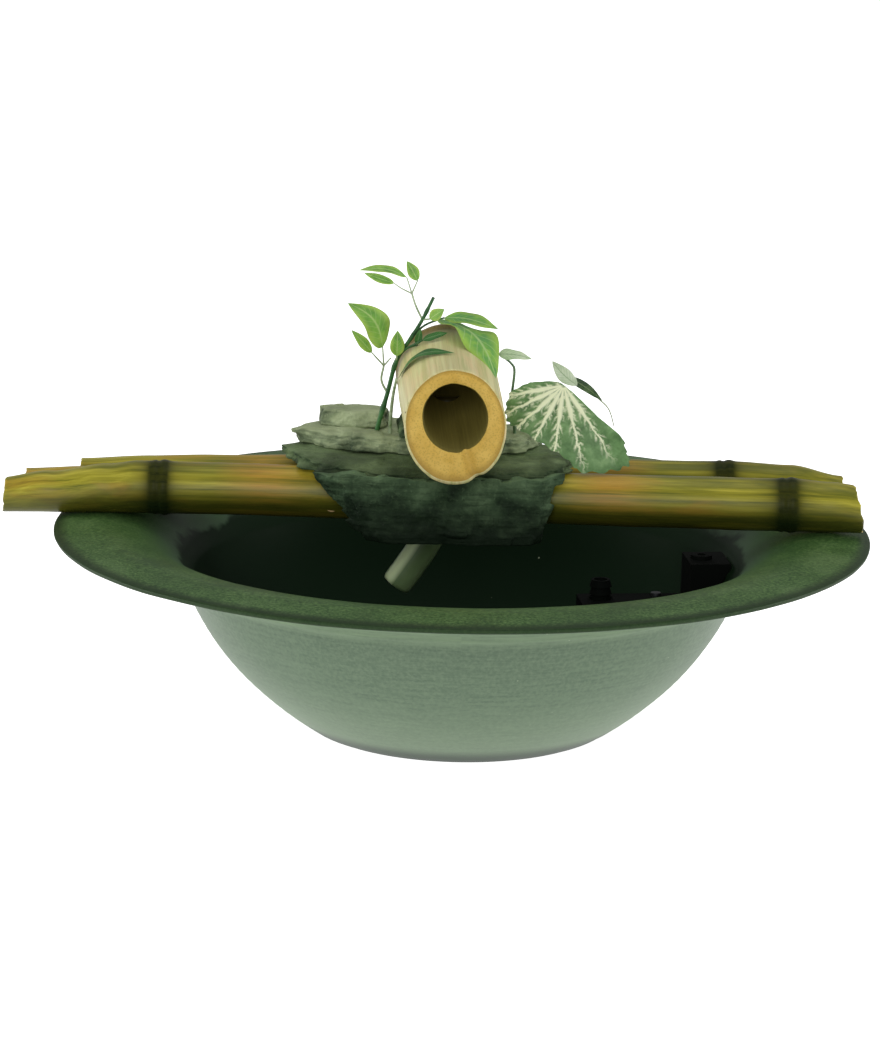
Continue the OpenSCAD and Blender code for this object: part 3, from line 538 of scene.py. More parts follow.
def bamboo_tube(name, x0, x1, centre, radius, bore, nodes, ends, plug, steps, sides, under=True, flat=1.0,
                rise=0):
    """A hollow cane lying along X. centre(x) gives the axis, radius(x) the skin, bore the ratio of the
    hollow, nodes the places of the joints, ends the two functions that give each end's x from (y, z)
    round the axis, plug the x of the partition at the end of each hollow, flat how high the hollow is
    for its width, and rise how far it lies above the axis."""
    verts, grain, kinds = [], [], []
    values = {"ring": [], "rind": [], "under": []}

    def add_ring(share, ratio, pull=0.0, rim=1.0, at=None):
        for k in range(sides):
            turn = 2 * math.pi * k / sides
            cy, cz = math.cos(turn), math.sin(turn)
            skin_share = min(1.0, max(0.0, (ratio - bore) / (1 - bore)))
            tall = ratio * cz * (flat + (1 - flat) * skin_share) + (1 - skin_share) * rise / radius(0)
            low, high = ends[0](cy * ratio, tall), ends[1](cy * ratio, tall)
            x = low + (high - low) * share + pull if at is None else at
            r = radius(x) * (1 + 0.012 * rough((x, 40 * cy, 40 * cz), 30, 5.5))
            y, z = centre(x)
            verts.append((x, y + r * cy * ratio, z + r * tall))
            grain.append((x, r * cy * ratio, r * cz * ratio))
            near = max([math.exp(-((x - n) / 4.0) ** 2) + 0.55 * math.exp(-((x - n + 1) / 8.5) ** 2)
                        for n in nodes], default=0)
            values["ring"].append(min(1.0, near))
            values["rind"].append(rim)
            # painted shade: how strongly the lower side of the cane is darkened
            values["under"].append(min(1.0, max(0.0, 0.52 - 1.25 * cz)) if under else 0.0)

    cut = ((bore, 0.6, 0), (bore + 0.03, 0, 0.1), ((1 + bore) / 2, 0, 0.5), (0.965, 0, 1))
    chamfer = 0.4 / (x1 - x0)
    add_ring(0, bore, rim=0, at=plug[0])
    for ratio, pull, rim in cut:
        add_ring(0, ratio, pull, rim)
    for share in (chamfer, *(i / steps for i in range(1, steps)), 1 - chamfer):
        add_ring(share, 1.0)
    for ratio, pull, rim in cut[::-1]:
        add_ring(1, ratio, -pull, rim)
    add_ring(1, bore, rim=0, at=plug[1])
    rings = len(verts) // sides
    for i in range(rings - 1):
        from_end = min(i, rings - 2 - i)
        kinds += [2 if from_end < 2 else 1 if from_end < 4 else 0] * sides
    quads = [(a, d, c, b) for a, b, c, d in loft_faces(rings, sides)]
    lids = [tuple(range(sides)), tuple(range((rings - 1) * sides, rings * sides))[::-1]]
    tube = make_object(name, verts, quads + lids, grain)
    tube.data.polygons.foreach_set("material_index", kinds + [2, 2])
    for key, each in values.items():
        add_value(tube, key, each)
    return tube


REST_Z = 76.3
FRONT_R, MIDDLE_R, REAR_R = 9.7, 6.5, 8.6
FRONT_Y, MIDDLE_Y, REAR_Y = 0.5, 20.5, 36.5
FRONT_SKEW, MIDDLE_SKEW, REAR_SKEW = -0.047, -0.030, -0.020


def cane_radius(base, table, nodes):
    """The skin's radius along a cane: its taper, and at each node a scar, a groove and a swelling."""
    def radius(x):
        r = base * interp(x, table)
        for n in nodes:
            r += 0.6 * math.exp(-((x - n - 1.6) / 1.9) ** 2) + 0.35 * math.exp(-((x - n + 1.7) / 1.1) ** 2)
            r -= 0.25 * math.exp(-((x - n + 0.3) / 0.8) ** 2)
        return r
    return radius


def make_canes():
    """Three canes, each with its own taper, bow, nodes and ragged ends."""
    green = bamboo_skin("cane_skin", (196, 186, 66), (160, 152, 40), (96, 102, 22), (204, 146, 56),
                        (20, 32, 14), blush_at=(-72, 54))
    amber = bamboo_skin("cane_skin_pale", (206, 184, 72), (180, 154, 50), (118, 108, 32), (200, 142, 74),
                        (60, 54, 28))
    cut = bamboo_cut("cane_cut", (206, 192, 110), (176, 156, 82), (140, 120, 58))
    bore = bamboo_bore("cane_bore", (96, 84, 44))

    def wobble(x, seed):
        return 0.25 * rough((x, 0, 0), 50, seed), 0.2 * rough((x, 9, 3), 50, seed + 4)

    def axis(base_y, skew, base_z, drops, seed):
        def centre(x):
            dy, dz = wobble(x, seed)
            return base_y + skew * x + dy, base_z - interp(x, drops) + dz
        return centre

    jag = lambda cy, cz, seed: 0.7 * rough((9 * cy, 9 * cz, 0), 5, seed)
    pieces = (
        ("cane_front", green, "cane", -173, 147, FRONT_R, FRONT_Y, FRONT_SKEW, (-112, 119),
         [(-173, 4.8), (-153, 2.9), (-132, 0.9), (-120, 0.1), (-100, 0), (122, 0), (134, 0.2), (151, 1.1)],
         [(-173, 0.66), (-153, 0.80), (-132, 0.93), (-120, 1.0), (0, 0.98), (122, 1), (134, 0.96),
          (151, 0.87)],
         lambda cy, cz: -169.8 + 0.5 * cz + jag(cy, cz, 2.2),
         lambda cy, cz: 146 - 2.4 * cz - 1.6 * max(0, -cz) + 1.3 * jag(cy, cz, 8.1), 1.0),
        ("cane_middle", amber, "cane_pale", -165, -27, MIDDLE_R, MIDDLE_Y, MIDDLE_SKEW, (-63,),
         [(-165, 0.4), (-140, 0), (-27, 0)], [(-165, 0.86), (-140, 1.0), (-60, 1.0), (-27, 0.96)],
         lambda cy, cz: -163.6 + jag(cy, cz, 4.0), lambda cy, cz: -27 + jag(cy, cz, 5.0), 2.0),
        ("cane_rear", green, "cane", -146, 144, REAR_R, REAR_Y, REAR_SKEW, (99, -58),
         [(-146, 2.2), (-118, 1.4), (-90, 0.9), (-40, 0.2), (20, 0), (102, 0), (124, 0.4), (144, 2.2)],
         [(-146, 0.76), (-118, 0.84), (-90, 0.9), (-40, 0.98), (20, 1), (102, 1), (124, 0.95),
          (144, 0.74)],
         lambda cy, cz: -144.4 + jag(cy, cz, 6.0), lambda cy, cz: 144 - 0.6 * cz + jag(cy, cz, 7.0), 3.0))
    for name, skin, slot, x0, x1, base, y0, skew, nodes, drops, taper, left, right, seed in pieces:
        tube = bamboo_tube(name + "_bamboo", x0, x1, axis(y0, skew, REST_Z + base, drops, seed),
                           cane_radius(base, taper, nodes), 0.62, nodes, (left, right), (x0 + 18, x1 - 14),
                           420, 48)
        finish_piece(tube, [skin, cut, bore], "raft", name)


# Spout: built along its own axis, then turned into place

SPOUT_AT = Vector((-3.3, -36.1, 119.3))
SPOUT_YAW = math.radians(3.6)
SPOUT_TILT = math.radians(9)
SPOUT_R = 18.4
SPOUT_BORE_R = 11.3
SPOUT_L = 70
MOUTH_CUT = math.radians(62)
BORE_RISE = 3


def make_spout():
    """The tube lies along X with its mouth at low x, as a cane does, and is then turned to point back."""
    reach = SPOUT_R / math.tan(MOUTH_CUT)

    def mouth(cy, cz):
        ragged = 0.35 * rough((12 * cy, 12 * cz, 0), 4, 1.3)
        chip = 2.4 * math.exp(-((math.atan2(cy, -cz) + 0.42) / 0.12) ** 2)
        return reach * cz + ragged + chip

    skin = bamboo_skin("spout_skin", (226, 222, 168), (214, 202, 146), (172, 178, 108), (240, 198, 156),
                       (120, 104, 60), roughness=0.4)
    cut = bamboo_cut("spout_cut", (226, 190, 94), (208, 168, 70), (160, 126, 52))
    bore = bamboo_bore("spout_bore", (112, 102, 44))
    back = SPOUT_L - reach

    def radius(x):
        return SPOUT_R * (1 - 0.004 * math.sin(x / 9)) + 0.5 * math.exp(-((x - back + 3) / 1.2) ** 2)

    tube = bamboo_tube("spout_bamboo", -reach, back, lambda x: (0.0, 0.0), radius, SPOUT_BORE_R / SPOUT_R,
                       (back - 3,), (mouth, lambda cy, cz: back), (back - 2.6, back - 1), 120, 96,
                       under=False, flat=0.92, rise=BORE_RISE)
    turn = Matrix.Rotation(SPOUT_YAW, 4, "Z") @ Matrix.Rotation(SPOUT_TILT, 4, "X") \
        @ Matrix.Rotation(math.pi / 2, 4, "Z")
    tube.data.transform(Matrix.Translation(SPOUT_AT * MM) @ turn)
    finish_piece(tube, [skin, cut, bore], "raft", "spout")


# Slates: split rock in thin beds, each a little different in outline, seated on the canes

LEDGE_Z = REST_Z + 2 * FRONT_R + 0.3
LEDGE_T = 4.6
UPPER_Z = LEDGE_Z + LEDGE_T
UPPER_T = 6.0
CAP_Z = UPPER_Z + UPPER_T
CAP_T = 5.6
APRON_H = 24
APRON_T = 8
FRONT_EDGE = FRONT_Y + FRONT_SKEW * 40 - FRONT_R - 0.3


def slate_material(name, light, mid, dark, shade=0.75):
    """Split slate: painted light on its upward faces, layered and dark on its faces, with painted shade
    towards the front and below.
    """
    s = Shader(name, roughness=0.62, specular=0.1)
    place = s.place()
    y, z = s.parts(place)[1:]
    beds = s.noise(s.scaled(place, (35, 35, 420)), 1.0, 5, 0.65, 0.3)
    broad = s.noise(place, 55, 4, 0.6)
    fine = s.noise(place, 620, 4, 0.65)
    s.colour = s.ramp(broad, (0.35, dark), (0.5, mid), (0.66, light))
    s.over(s.ramp(beds, (0.35, 0.55), (0.52, 0)), dark)
    # painted light: faces that look upward are lighter
    facing = s.parts(s.node("ShaderNodeNewGeometry").outputs["Normal"])[2]
    s.over(s.times(s.ramp(facing, (0.45, 0), (0.95, 1)), 0.55), light)
    s.over(s.ramp(fine, (0.55, 0), (0.72, 0.45)), light)
    s.over(s.ramp(s.cells(place, 240), (0.02, 0.5), (0.1, 0)), dark)
    # painted shade: darker towards the front and towards the bottom
    front = s.ramp(s.plus(s.times(y, 10), s.times(broad, 0.4)), (0.0, shade), (0.3, 0))
    low = s.ramp(s.plus(s.times(z, 10), s.times(broad, 0.2)), (0.86, 1), (1.04, 0))
    s.over(front, darker(dark, 0.8))
    s.over(low, darker(dark, 0.6))
    s.feed("Base Color", s.colour)
    s.feed("Roughness", s.ramp(broad, (0.3, 0.5), (0.7, 0.72)))
    s.bump(fine, 0.5, 0.9)
    s.bump(beds, 1.2, 0.8)
    s.bump(s.noise(place, 160, 4, 0.6), 1.2, 0.8)
    return s.mat


def spout_underside(x, y):
    """Height of the spout's lowest skin above a point, or a great height beside the spout."""
    along = y - SPOUT_AT.y
    off = x - (SPOUT_AT.x - along * math.tan(SPOUT_YAW))
    if abs(off) >= SPOUT_R + 0.3 or along < -9 or along > 65:
        return 1e3
    drop = math.sqrt((SPOUT_R + 0.5) ** 2 - off * off) / math.cos(SPOUT_TILT)
    return SPOUT_AT.z + along * math.tan(SPOUT_TILT) - drop


def outline_ring(corners, count):
    """Even points round a closed outline, with its corners a little worn."""
    pts = [Vector((x, y)) for x, y in corners]
    edges = [(a, b, (b - a).length) for a, b in zip(pts, pts[1:] + pts[:1])]
    total = sum(e[2] for e in edges)
    ring, gone, at = [], 0.0, 0
    for i in range(count):
        goal = total * i / count
        while gone + edges[at][2] < goal:
            gone += edges[at][2]
            at += 1
        a, b, span = edges[at]
        ring.append(a.lerp(b, (goal - gone) / span))
    return [(0.25 * ring[i - 1] + 0.5 * ring[i] + 0.25 * ring[(i + 1) % count]) for i in range(count)]


def make_rock(name, material, node, z0, z1, low, high, seed, beds, crown, bulge, worn_front=0,
              shift_y=0):
    """A slab from z0 to z1 between a low and a high outline: a flat underside, beds that step in and out by
    bulge, and a top that is uneven by crown and drops by worn_front towards the viewer."""
    around = 260
    levels = 5 * beds
    low_ring = outline_ring([(x, y + shift_y) for x, y in low], around)
    high_ring = outline_ring([(x, y + shift_y) for x, y in high], around)
    mid = sum(low_ring + high_ring, Vector((0, 0))) / (2 * around)
    verts = []

    def top_at(x, y):
        z = z1 + crown * rough((x, y, seed), 16, seed) - worn_front * min(1.0, max(0.0, -4 - y) / 13) ** 1.4
        steps = noise.cell(Vector((x / 15 + 0.25 * rough((x, y, 0), 9, seed), y / 11, seed)))
        return min(z + 0.7 * crown * (steps - 0.5), spout_underside(x, y))

    def side_point(k, level):
        share = level / levels
        p = low_ring[k].lerp(high_ring[k], share)
        out = (p - mid).normalized()
        bed = min(beds - 1, int(share * beds + 0.22 * rough((p.x, p.y, 0), 20, seed)))
        step = rough((p.x, p.y, 40 * bed), 13, seed + bed)
        chip = noise.cell(Vector((p.x / 6, p.y / 6, bed + seed)))
        push = bulge * (1.3 * step + 0.5 * (chip - 0.5)) + 0.5 * rough((p.x, p.y, 6 * share), 4, seed)
        worn = -0.9 * max(0.0, share - 0.9) * 10 - 0.5 * max(0.0, 0.1 - share) * 10
        return p + out * (push + worn)

    for level in range(levels + 1):
        for k in range(around):
            p = side_point(k, level)
            roof = top_at(p.x, p.y)
            z = z0 + (min(z1, roof) - z0) * level / levels if level < levels else roof - 0.25
            verts.append((p.x, p.y, z))
    inner = 26
    for i in range(1, inner):
        for k in range(around):
            edge = side_point(k, levels)
            p = edge.lerp(mid, i / inner)
            verts.append((p.x, p.y, top_at(p.x, p.y)))
    verts.append((mid.x, mid.y, top_at(mid.x, mid.y)))
    rings = levels + inner
    faces = loft_faces(rings, around)
    last = (rings - 1) * around
    faces += [(last + k, last + (k + 1) % around, len(verts) - 1) for k in range(around)]
    faces.append(tuple(range(around))[::-1])
    finish_piece(make_object(name, verts, faces), [material], "raft", node)


def make_slates():
    """Five rocks: the ledge, the upper slate with the saddle under the spout, the cap and the front slate."""
    pale = slate_material("slate_top", (182, 194, 152), (140, 154, 118), (66, 80, 58))
    grey = slate_material("slate_mid", (136, 156, 112), (76, 97, 64), (30, 45, 28), shade=0.9)
    deep = slate_material("slate_deep", (120, 146, 108), (80, 104, 74), (34, 50, 34), shade=0.3)
    make_rock(
        "slate_ledge_rock", grey, "slate_ledge", LEDGE_Z, UPPER_Z - 0.2,
        [(-64, 4), (-54, -13), (-20, -19), (12, -19), (34, -15), (40, 2), (36, 30), (10, 47), (-30, 48),
         (-60, 34), (-67, 22)],
        [(-61, 6), (-50, -10), (-22, -17), (14, -17.5), (33, -12), (42, 4), (37, 28), (12, 46), (-28, 48),
         (-58, 34), (-69, 21)],
        seed=1.7, beds=3, crown=0.6, bulge=1.7, worn_front=2.6)
    make_rock(
        "slate_upper_rock", pale, "slate_upper", UPPER_Z, CAP_Z - 0.3,
        [(-62, 24), (-46, 8), (-20, 2), (10, 2), (24, 12), (30, 30), (8, 45), (-32, 46), (-60, 34)],
        [(-64, 25), (-48, 12), (-22, 6), (12, 5), (20, 14), (26, 30), (4, 44), (-30, 45), (-58, 36)],
        seed=4.1, beds=3, crown=0.8, bulge=1.6)
    make_rock(
        "slate_saddle_rock", grey, "slate_upper", CAP_Z - 0.4, CAP_Z + 6.5,
        [(-24, 4), (14, 3), (16, 34), (-26, 36)], [(-20, 7), (10, 6), (12, 31), (-22, 33)],
        seed=6.3, beds=3, crown=0.6, bulge=0.8)
    make_rock(
        "slate_cap_rock", pale, "slate_cap", CAP_Z, CAP_Z + CAP_T,
        [(-54, 26), (-40, 20), (-29, 22), (-27, 40), (-44, 44), (-55, 38)],
        [(-52, 28), (-40, 24), (-30, 25), (-29, 39), (-44, 42), (-54, 37)],
        seed=8.8, beds=3, crown=0.5, bulge=0.7)
    make_rock(
        "slate_front_rock", deep, "slate_front", LEDGE_Z - APRON_H, LEDGE_Z + 1.0,
        [(-36, 0), (-28, -0.8 * APRON_T), (4, -APRON_T), (26, -0.7 * APRON_T), (30, 0)],
        [(-57, 0), (-46, -0.75 * APRON_T), (-4, -APRON_T), (30, -0.7 * APRON_T), (37, 0)],
        seed=2.9, beds=7, crown=1.4, bulge=1.8, shift_y=FRONT_EDGE - 1.6)


# Plants: stems and stalks as tapering tubes, leaves as thin curved blades with veins

ROOT_Z = CAP_Z - 3           # lower ends of the stems, in their sockets
LEAF_T = 0.32
FACING = (0.1, -1, 0.35)     # the way that most of the leaves look


def stem_material(name, light, dark):
    """Soft bark, mottled from dark to light."""
    s = Shader(name, roughness=0.5, specular=0.4)
    tone = s.noise(s.place(), 260, 3, 0.6)
    s.feed("Base Color", s.ramp(tone, (0.3, dark), (0.7, light)))
    s.bump(s.noise(s.place(), 900, 2, 0.6), 0.15, 0.7)
    return s.mat


def leaf_material(name, light, mid, dark, vein, edge=None):
    """A satin leaf: grain holds the place along and across the blade, from -1 to 1 across."""
    s = Shader(name, roughness=0.42, specular=0.45)
    along, across = s.parts(s.grain())[:2]
    side = s.math("ABSOLUTE", across)
    cloud = s.noise(s.place(), 130, 4, 0.6)
    s.colour = s.ramp(cloud, (0.3, dark), (0.5, mid), (0.7, light))
    if edge:
        s.over(s.ramp(side, (0.45, 0), (0.95, 0.8)), edge)
    ribs = s.math("PINGPONG", s.minus(s.times(along, 9.0), s.times(side, 2.2)), 0.5)
    ribs = s.ramp(ribs, (0.0, 0.55), (0.12, 0))
    s.over(s.times(ribs, s.ramp(side, (0.75, 1), (1.0, 0))), vein)
    s.over(s.ramp(side, (0.03, 0.85), (0.11, 0)), vein)
    s.feed("Base Color", s.colour)
    s.bump(ribs, 0.25, 0.7)
    glow = s.node("ShaderNodeBsdfTranslucent", {"Color": s.colour}).outputs[0]
    blend = s.node("ShaderNodeMixShader", {0: 0.28, 1: s.bsdf.outputs[0], 2: glow})
    out = next(n for n in s.tree.nodes if n.type == "OUTPUT_MATERIAL")
    s.tree.links.new(blend.outputs[0], out.inputs["Surface"])
    return s.mat


def leaf_shape(t, blunt):
    """Share of the half width at a place along a leaf, from the base at 0 to the tip at 1."""
    return max(0.0, math.sin(math.pi * t ** blunt)) ** 0.85


def blade(verts, faces, grain, base, tip, width, up, seed, droop, fold=0.12, bow=0.0, blunt=0.8, wave=0.3):
    """Adds one closed thin leaf: droop lifts its middle, bow bends it sideways, fold raises its edges, a
    smaller blunt puts its widest place nearer its base, and wave ripples its edges."""
    base, tip = Vector(base), Vector(tip)
    span = tip - base
    ahead = span.normalized()
    face = (Vector(up) - Vector(up).dot(ahead) * ahead).normalized()
    across = ahead.cross(face).normalized()
    rows, columns = 22, 10
    start = len(verts)
    for side in (1, -1):
        for i in range(rows + 1):
            t = i / rows
            half = width / 2 * leaf_shape(t, blunt)
            arch = math.sin(math.pi * t)
            spine = base + t * span + face * droop * arch + across * bow * arch
            for j in range(columns + 1):
                u = 2 * j / columns - 1
                ripple = wave * half * 0.4 * u * u * math.sin(11 * t + seed + (2 if u > 0 else 0))
                lift = fold * half * abs(u) ** 1.3 * 1.6 + ripple
                shell = LEAF_T / 2 * (1 - 0.9 * abs(u) ** 4) * min(1, 6 * t + 0.2, 6 * (1 - t) + 0.15)
                verts.append(spine + across * half * u + face * (lift + side * shell))
                grain.append((t, u, side))
    row = columns + 1
    size = (rows + 1) * row
    for i in range(rows):
        for j in range(columns):
            a = start + i * row + j
            b = a + size
            faces += [(a, a + row, a + row + 1, a + 1), (b, b + 1, b + row + 1, b + row)]
    for i in range(rows):
        for j, order in ((0, 1), (columns, -1)):
            a = start + i * row + j
            faces.append((a, a + size, a + size + row, a + row)[::order])
    for i, order in ((0, -1), (rows, 1)):
        for j in range(columns):
            a = start + i * row + j
            faces.append((a, a + size, a + size + 1, a + 1)[::order])


def make_leaves(name, material, node, slot, *leaves):
    """Each leaf is its base, tip, width, the way its face looks, and what else blade takes."""
    verts, faces, grain = [], [], []
    for n, (base, tip, width, up, form) in enumerate(leaves):
        blade(verts, faces, grain, base, tip, width, up, 1.7 * n, **form)
    finish_piece(make_object(name, verts, faces, grain), [material], "raft", node)


def stalk_mesh(verts, faces, points, d0, d1, knots, sides=10):
    """Adds one closed tube along the points that tapers from d0 to d1, thicker at its knots."""
    line = curve_through(points, 5)
    start = len(verts)
    for i, (p, a, b) in enumerate(frames_along(line)):
        share = i / (len(line) - 1)
        r = (d0 + (d1 - d0) * share) / 2 * (1 + knots * max(0.0, math.sin(9.5 * share * math.pi)) ** 6)
        for k in range(sides):
            turn = 2 * math.pi * k / sides
            verts.append(p + r * (math.cos(turn) * a + math.sin(turn) * b))
    faces += turned(loft_faces(len(line), sides, lids=True), start)


def make_stalks(name, material, node, slot, *stalks, knots=0.0):
    """Each stalk is its thickness at the two ends and its points."""
    verts, faces = [], []
    for d0, d1, *points in stalks:
        stalk_mesh(verts, faces, points, d0, d1, knots)
    finish_piece(make_object(name, verts, faces), [material], "raft", node)


def upright(x, y):
    """The lowest stretch of a stem, in its socket of the upper slate."""
    return (x, y, ROOT_Z), (x, y, ROOT_Z + 4)


SPRIG = [(-28.5, 16, 121), (-25.3, 12, 134), (-20, 10, 143), (-16, 9, 150), (-12, 8, 158.5)]
FORK_LOW = (-30, 15, 131.5)
FORK_HIGH = (-20, 10, 159.5)
CREST_FORK = (-8, 17, 149.5)


def make_plants():
    """The sprig and its leaves, the pale stem, the leaves over the spout, and the side stem with its leaf."""
    stem = stem_material("stem_green", (64, 116, 60), (28, 70, 38))
    pale = stem_material("stem_pale", (196, 208, 178), (120, 146, 96))
    grey = stem_material("stem_grey", (120, 150, 112), (66, 100, 66))
    fresh = leaf_material("leaf_fresh", (186, 226, 110), (148, 204, 92), (100, 164, 74), (206, 232, 150),
                          edge=(206, 232, 112))
    crest = leaf_material("leaf_crest", (176, 220, 92), (128, 192, 92), (98, 166, 104), (196, 228, 150),
                          edge=(190, 224, 96))
    dark = leaf_material("leaf_dark", (116, 168, 96), (74, 134, 64), (44, 98, 46), (146, 190, 128))
    milky = leaf_material("leaf_milky", (240, 250, 222), (214, 236, 192), (178, 212, 158), (150, 186, 130))
    make_stalks("sprig_stem_tube", stem, "sprig_stem", "stem",
                (1.9, 1.2, *upright(-32, 18.5), *SPRIG), knots=0.35)
    make_stalks("pale_stem_tube", pale, "pale_stem", "stem_pale",
                (1.6, 1.0, *upright(-27.4, 18.5), (-27, 13, 114.5), (-26.2, 7, 122.5), (-25, -0.5, 129.6)))
    make_stalks("side_stem_tube", grey, "side_stem", "stem",
                (1.2, 0.8, *upright(19, 21), (17.5, 14, 119), (18.3, 10, 131), (17, 8, 134.5),
                 (13.5, 4, 138)))
    make_stalks(
        "sprig_twigs", pale, "sprig_leaves", "leaf_fresh",
        (0.9, 0.8, SPRIG[0], (-30.8, 15, 126), FORK_LOW), (0.7, 0.5, FORK_LOW, (-34.5, 14, 136.5)),
        (0.7, 0.5, FORK_LOW, (-30.5, 14, 138.5)), (0.7, 0.5, FORK_LOW, (-27.4, 14.4, 134.6)),
        (0.8, 0.7, SPRIG[3], (-18.5, 10, 155), FORK_HIGH), (0.6, 0.45, FORK_HIGH, (-22, 10, 165.5)),
        (0.6, 0.4, FORK_HIGH, (-24, 9, 161.6), (-26.5, 8, 163.5)), (0.6, 0.45, FORK_HIGH, (-18, 12, 164)),
        (0.8, 0.6, SPRIG[3], (-13.3, 7.4, 150.6)), (0.8, 0.6, SPRIG[1], (-25.2, 9.4, 136.2)))
    make_stalks("sprig_dark_twig", stem, "sprig_leaves", "leaf_fresh",
                (1.0, 0.7, (-23.6, 11.2, 137), (-21, 7.5, 139.8), (-15.8, 3, 143.4)),
                (0.7, 0.5, (-21, 7.5, 139.8), (-17.5, 5.5, 141.2)))
    make_leaves("sprig_dark_blades", dark, "sprig_leaves", "leaf_fresh",
                ((-15.8, 3, 143.4), (-6.6, 3, 146.4), 3.2, (0, -0.8, 0.8), dict(droop=0.3)),
                ((-17.8, 5.5, 141.4), (-16.5, 3.5, 147.6), 2.8, FACING, dict(droop=0.3)))
    make_leaves(
        "sprig_blades", fresh, "sprig_leaves", "leaf_fresh",
        ((-34.5, 14, 136.5), (-42, 10, 145.5), 4.0, FACING, dict(droop=0.6)),
        ((-30.5, 14, 138.5), (-43.5, 10, 155.5), 10, FACING, dict(droop=1.5, bow=3.4, blunt=0.7, wave=0.6)),
        ((-22, 10, 165.5), (-39.5, 5, 168.5), 4.2, (0, -0.7, 0.9), dict(droop=2.4)),
        ((-26.5, 8, 163.5), (-37.5, 4, 167.7), 3.2, FACING, dict(droop=-0.6)),
        ((-18, 12, 164), (-22, 13, 171), 4.4, FACING, dict(droop=0.5)),
        ((-13.3, 7.4, 150.6), (-8.0, 6.5, 154.5), 4.4, FACING, dict(droop=0.4)),
        ((-25.2, 9.4, 136.2), (-25.0, 8, 146), 5.4, FACING, dict(droop=0.5)))
    make_leaves("spout_leaf_blade", dark, "spout_leaf", "leaf_dark",
                ((-24.1, -1, 130), (-4.0, -15, 142.2), 5.4, (-0.8, -0.15, 1), dict(droop=4.9, fold=0.05)))
    make_stalks("crest_twigs", stem, "crest_leaves", "stem",
                (0.9, 0.7, SPRIG[2], (-15, 12, 147.5), CREST_FORK))
    make_leaves(
        "crest_blades", crest, "crest_leaves", "leaf_fresh",
        (CREST_FORK, (12, 6, 147.5), 7.4, (0, -0.6, 1), dict(droop=2.2, fold=0.1, bow=0.6)),
        ((-10.5, 15, 149.2), (11.2, -11, 132.5), 17, (0.7, -0.62, 0.9),
         dict(droop=5.4, fold=0.03, bow=-1.5, blunt=0.95, wave=0.5)))
    make_leaves("side_leaf_blade", milky, "side_leaf", "leaf_variegated",
                ((12.2, 4, 138.6), (24.6, 4, 137), 5.6, (0, -0.7, 1), dict(droop=0.8, fold=0.05, blunt=0.6)))


# Heart leaf: a domed blade that leans over the front cane, with cream veins that fan from its stalk

HEART_AT = Vector((36.5, 8, 126.5))
HEART_TILT = math.radians(25)
HEART_OUTLINE = [(-19.6, -2.1), (-13.6, 1), (-9.9, 1.7), (-2.3, 1.5), (2.3, -1.6), (6.8, -5.8), (14.7, -13.4),
                 (21.5, -18.6), (23.4, -24), (24.5, -28.5), (18.1, -31.5), (6.8, -32.3), (1.5, -27.8),
                 (-6.8, -22.8), (-16.6, -16.4), (-20.4, -13.4), (-21.2, -8.1)]
HEART_VEINS = (190, 207, 224, 243, 263, 284, 304)


def heart_material():
    """Dark green with a cream vein down each rib, branched like a feather and broken up by noise."""
    s = Shader("leaf_heart", roughness=0.45, specular=0.4)
    grain = s.grain()
    x, y = s.parts(grain)[:2]
    reach = s.math("POWER", s.plus(s.times(x, x), s.times(y, y)), 0.5)
    drift = s.times(s.minus(s.noise(grain, 0.28, 3, 0.6), 0.5), 7.5)
    gaps = s.ramp(s.noise(s.scaled(grain, (1, 1, 1), (7, 3, 0)), 0.42, 3, 0.6), (0.36, 0), (0.52, 1))
    cloud = s.noise(grain, 0.22, 4, 0.6)
    green = s.ramp(cloud, (0.3, (76, 112, 62)), (0.55, (108, 148, 90)), (0.75, (140, 176, 118)))
    mask = None
    for degrees in HEART_VEINS:
        a = math.radians(degrees)
        along = s.plus(s.times(x, math.cos(a)), s.times(y, math.sin(a)))
        off = s.minus(s.times(x, math.sin(a)), s.times(y, math.cos(a)))
        wander = s.times(drift, s.ramp(s.times(along, 0.03), (0.1, 0), (1.0, 0.6)))
        off = s.math("ABSOLUTE", s.plus(off, wander))
        ahead = s.ramp(s.times(along, 0.1), (0.0, 0), (0.12, 1))
        width = s.times(off, s.ramp(s.times(along, 0.04), (0.0, 2.4), (0.22, 0.9), (0.4, 0.68), (0.9, 2.2)))
        core = s.ramp(width, (0.4, 1), (1.7, 0))
        barbs = s.math("PINGPONG", s.plus(s.minus(along, s.times(off, 1.5)), drift), 1.8)
        barbs = s.ramp(s.times(barbs, 0.5), (0.1, 0.9), (0.65, 0))
        barbs = s.times(s.times(barbs, gaps), s.ramp(s.times(off, 0.3), (0.3, 1), (0.75, 0)))
        one = s.times(s.larger(core, barbs), ahead)
        mask = one if mask is None else s.larger(mask, one)
    fade = s.ramp(s.times(reach, 0.025), (0.0, 1), (0.62, 0.95), (0.88, 0))
    mask = s.times(mask, fade)
    s.feed("Base Color", s.mix(mask, green, (250, 255, 216)))
    s.bump(mask, 0.25, 0.5)
    return s.mat


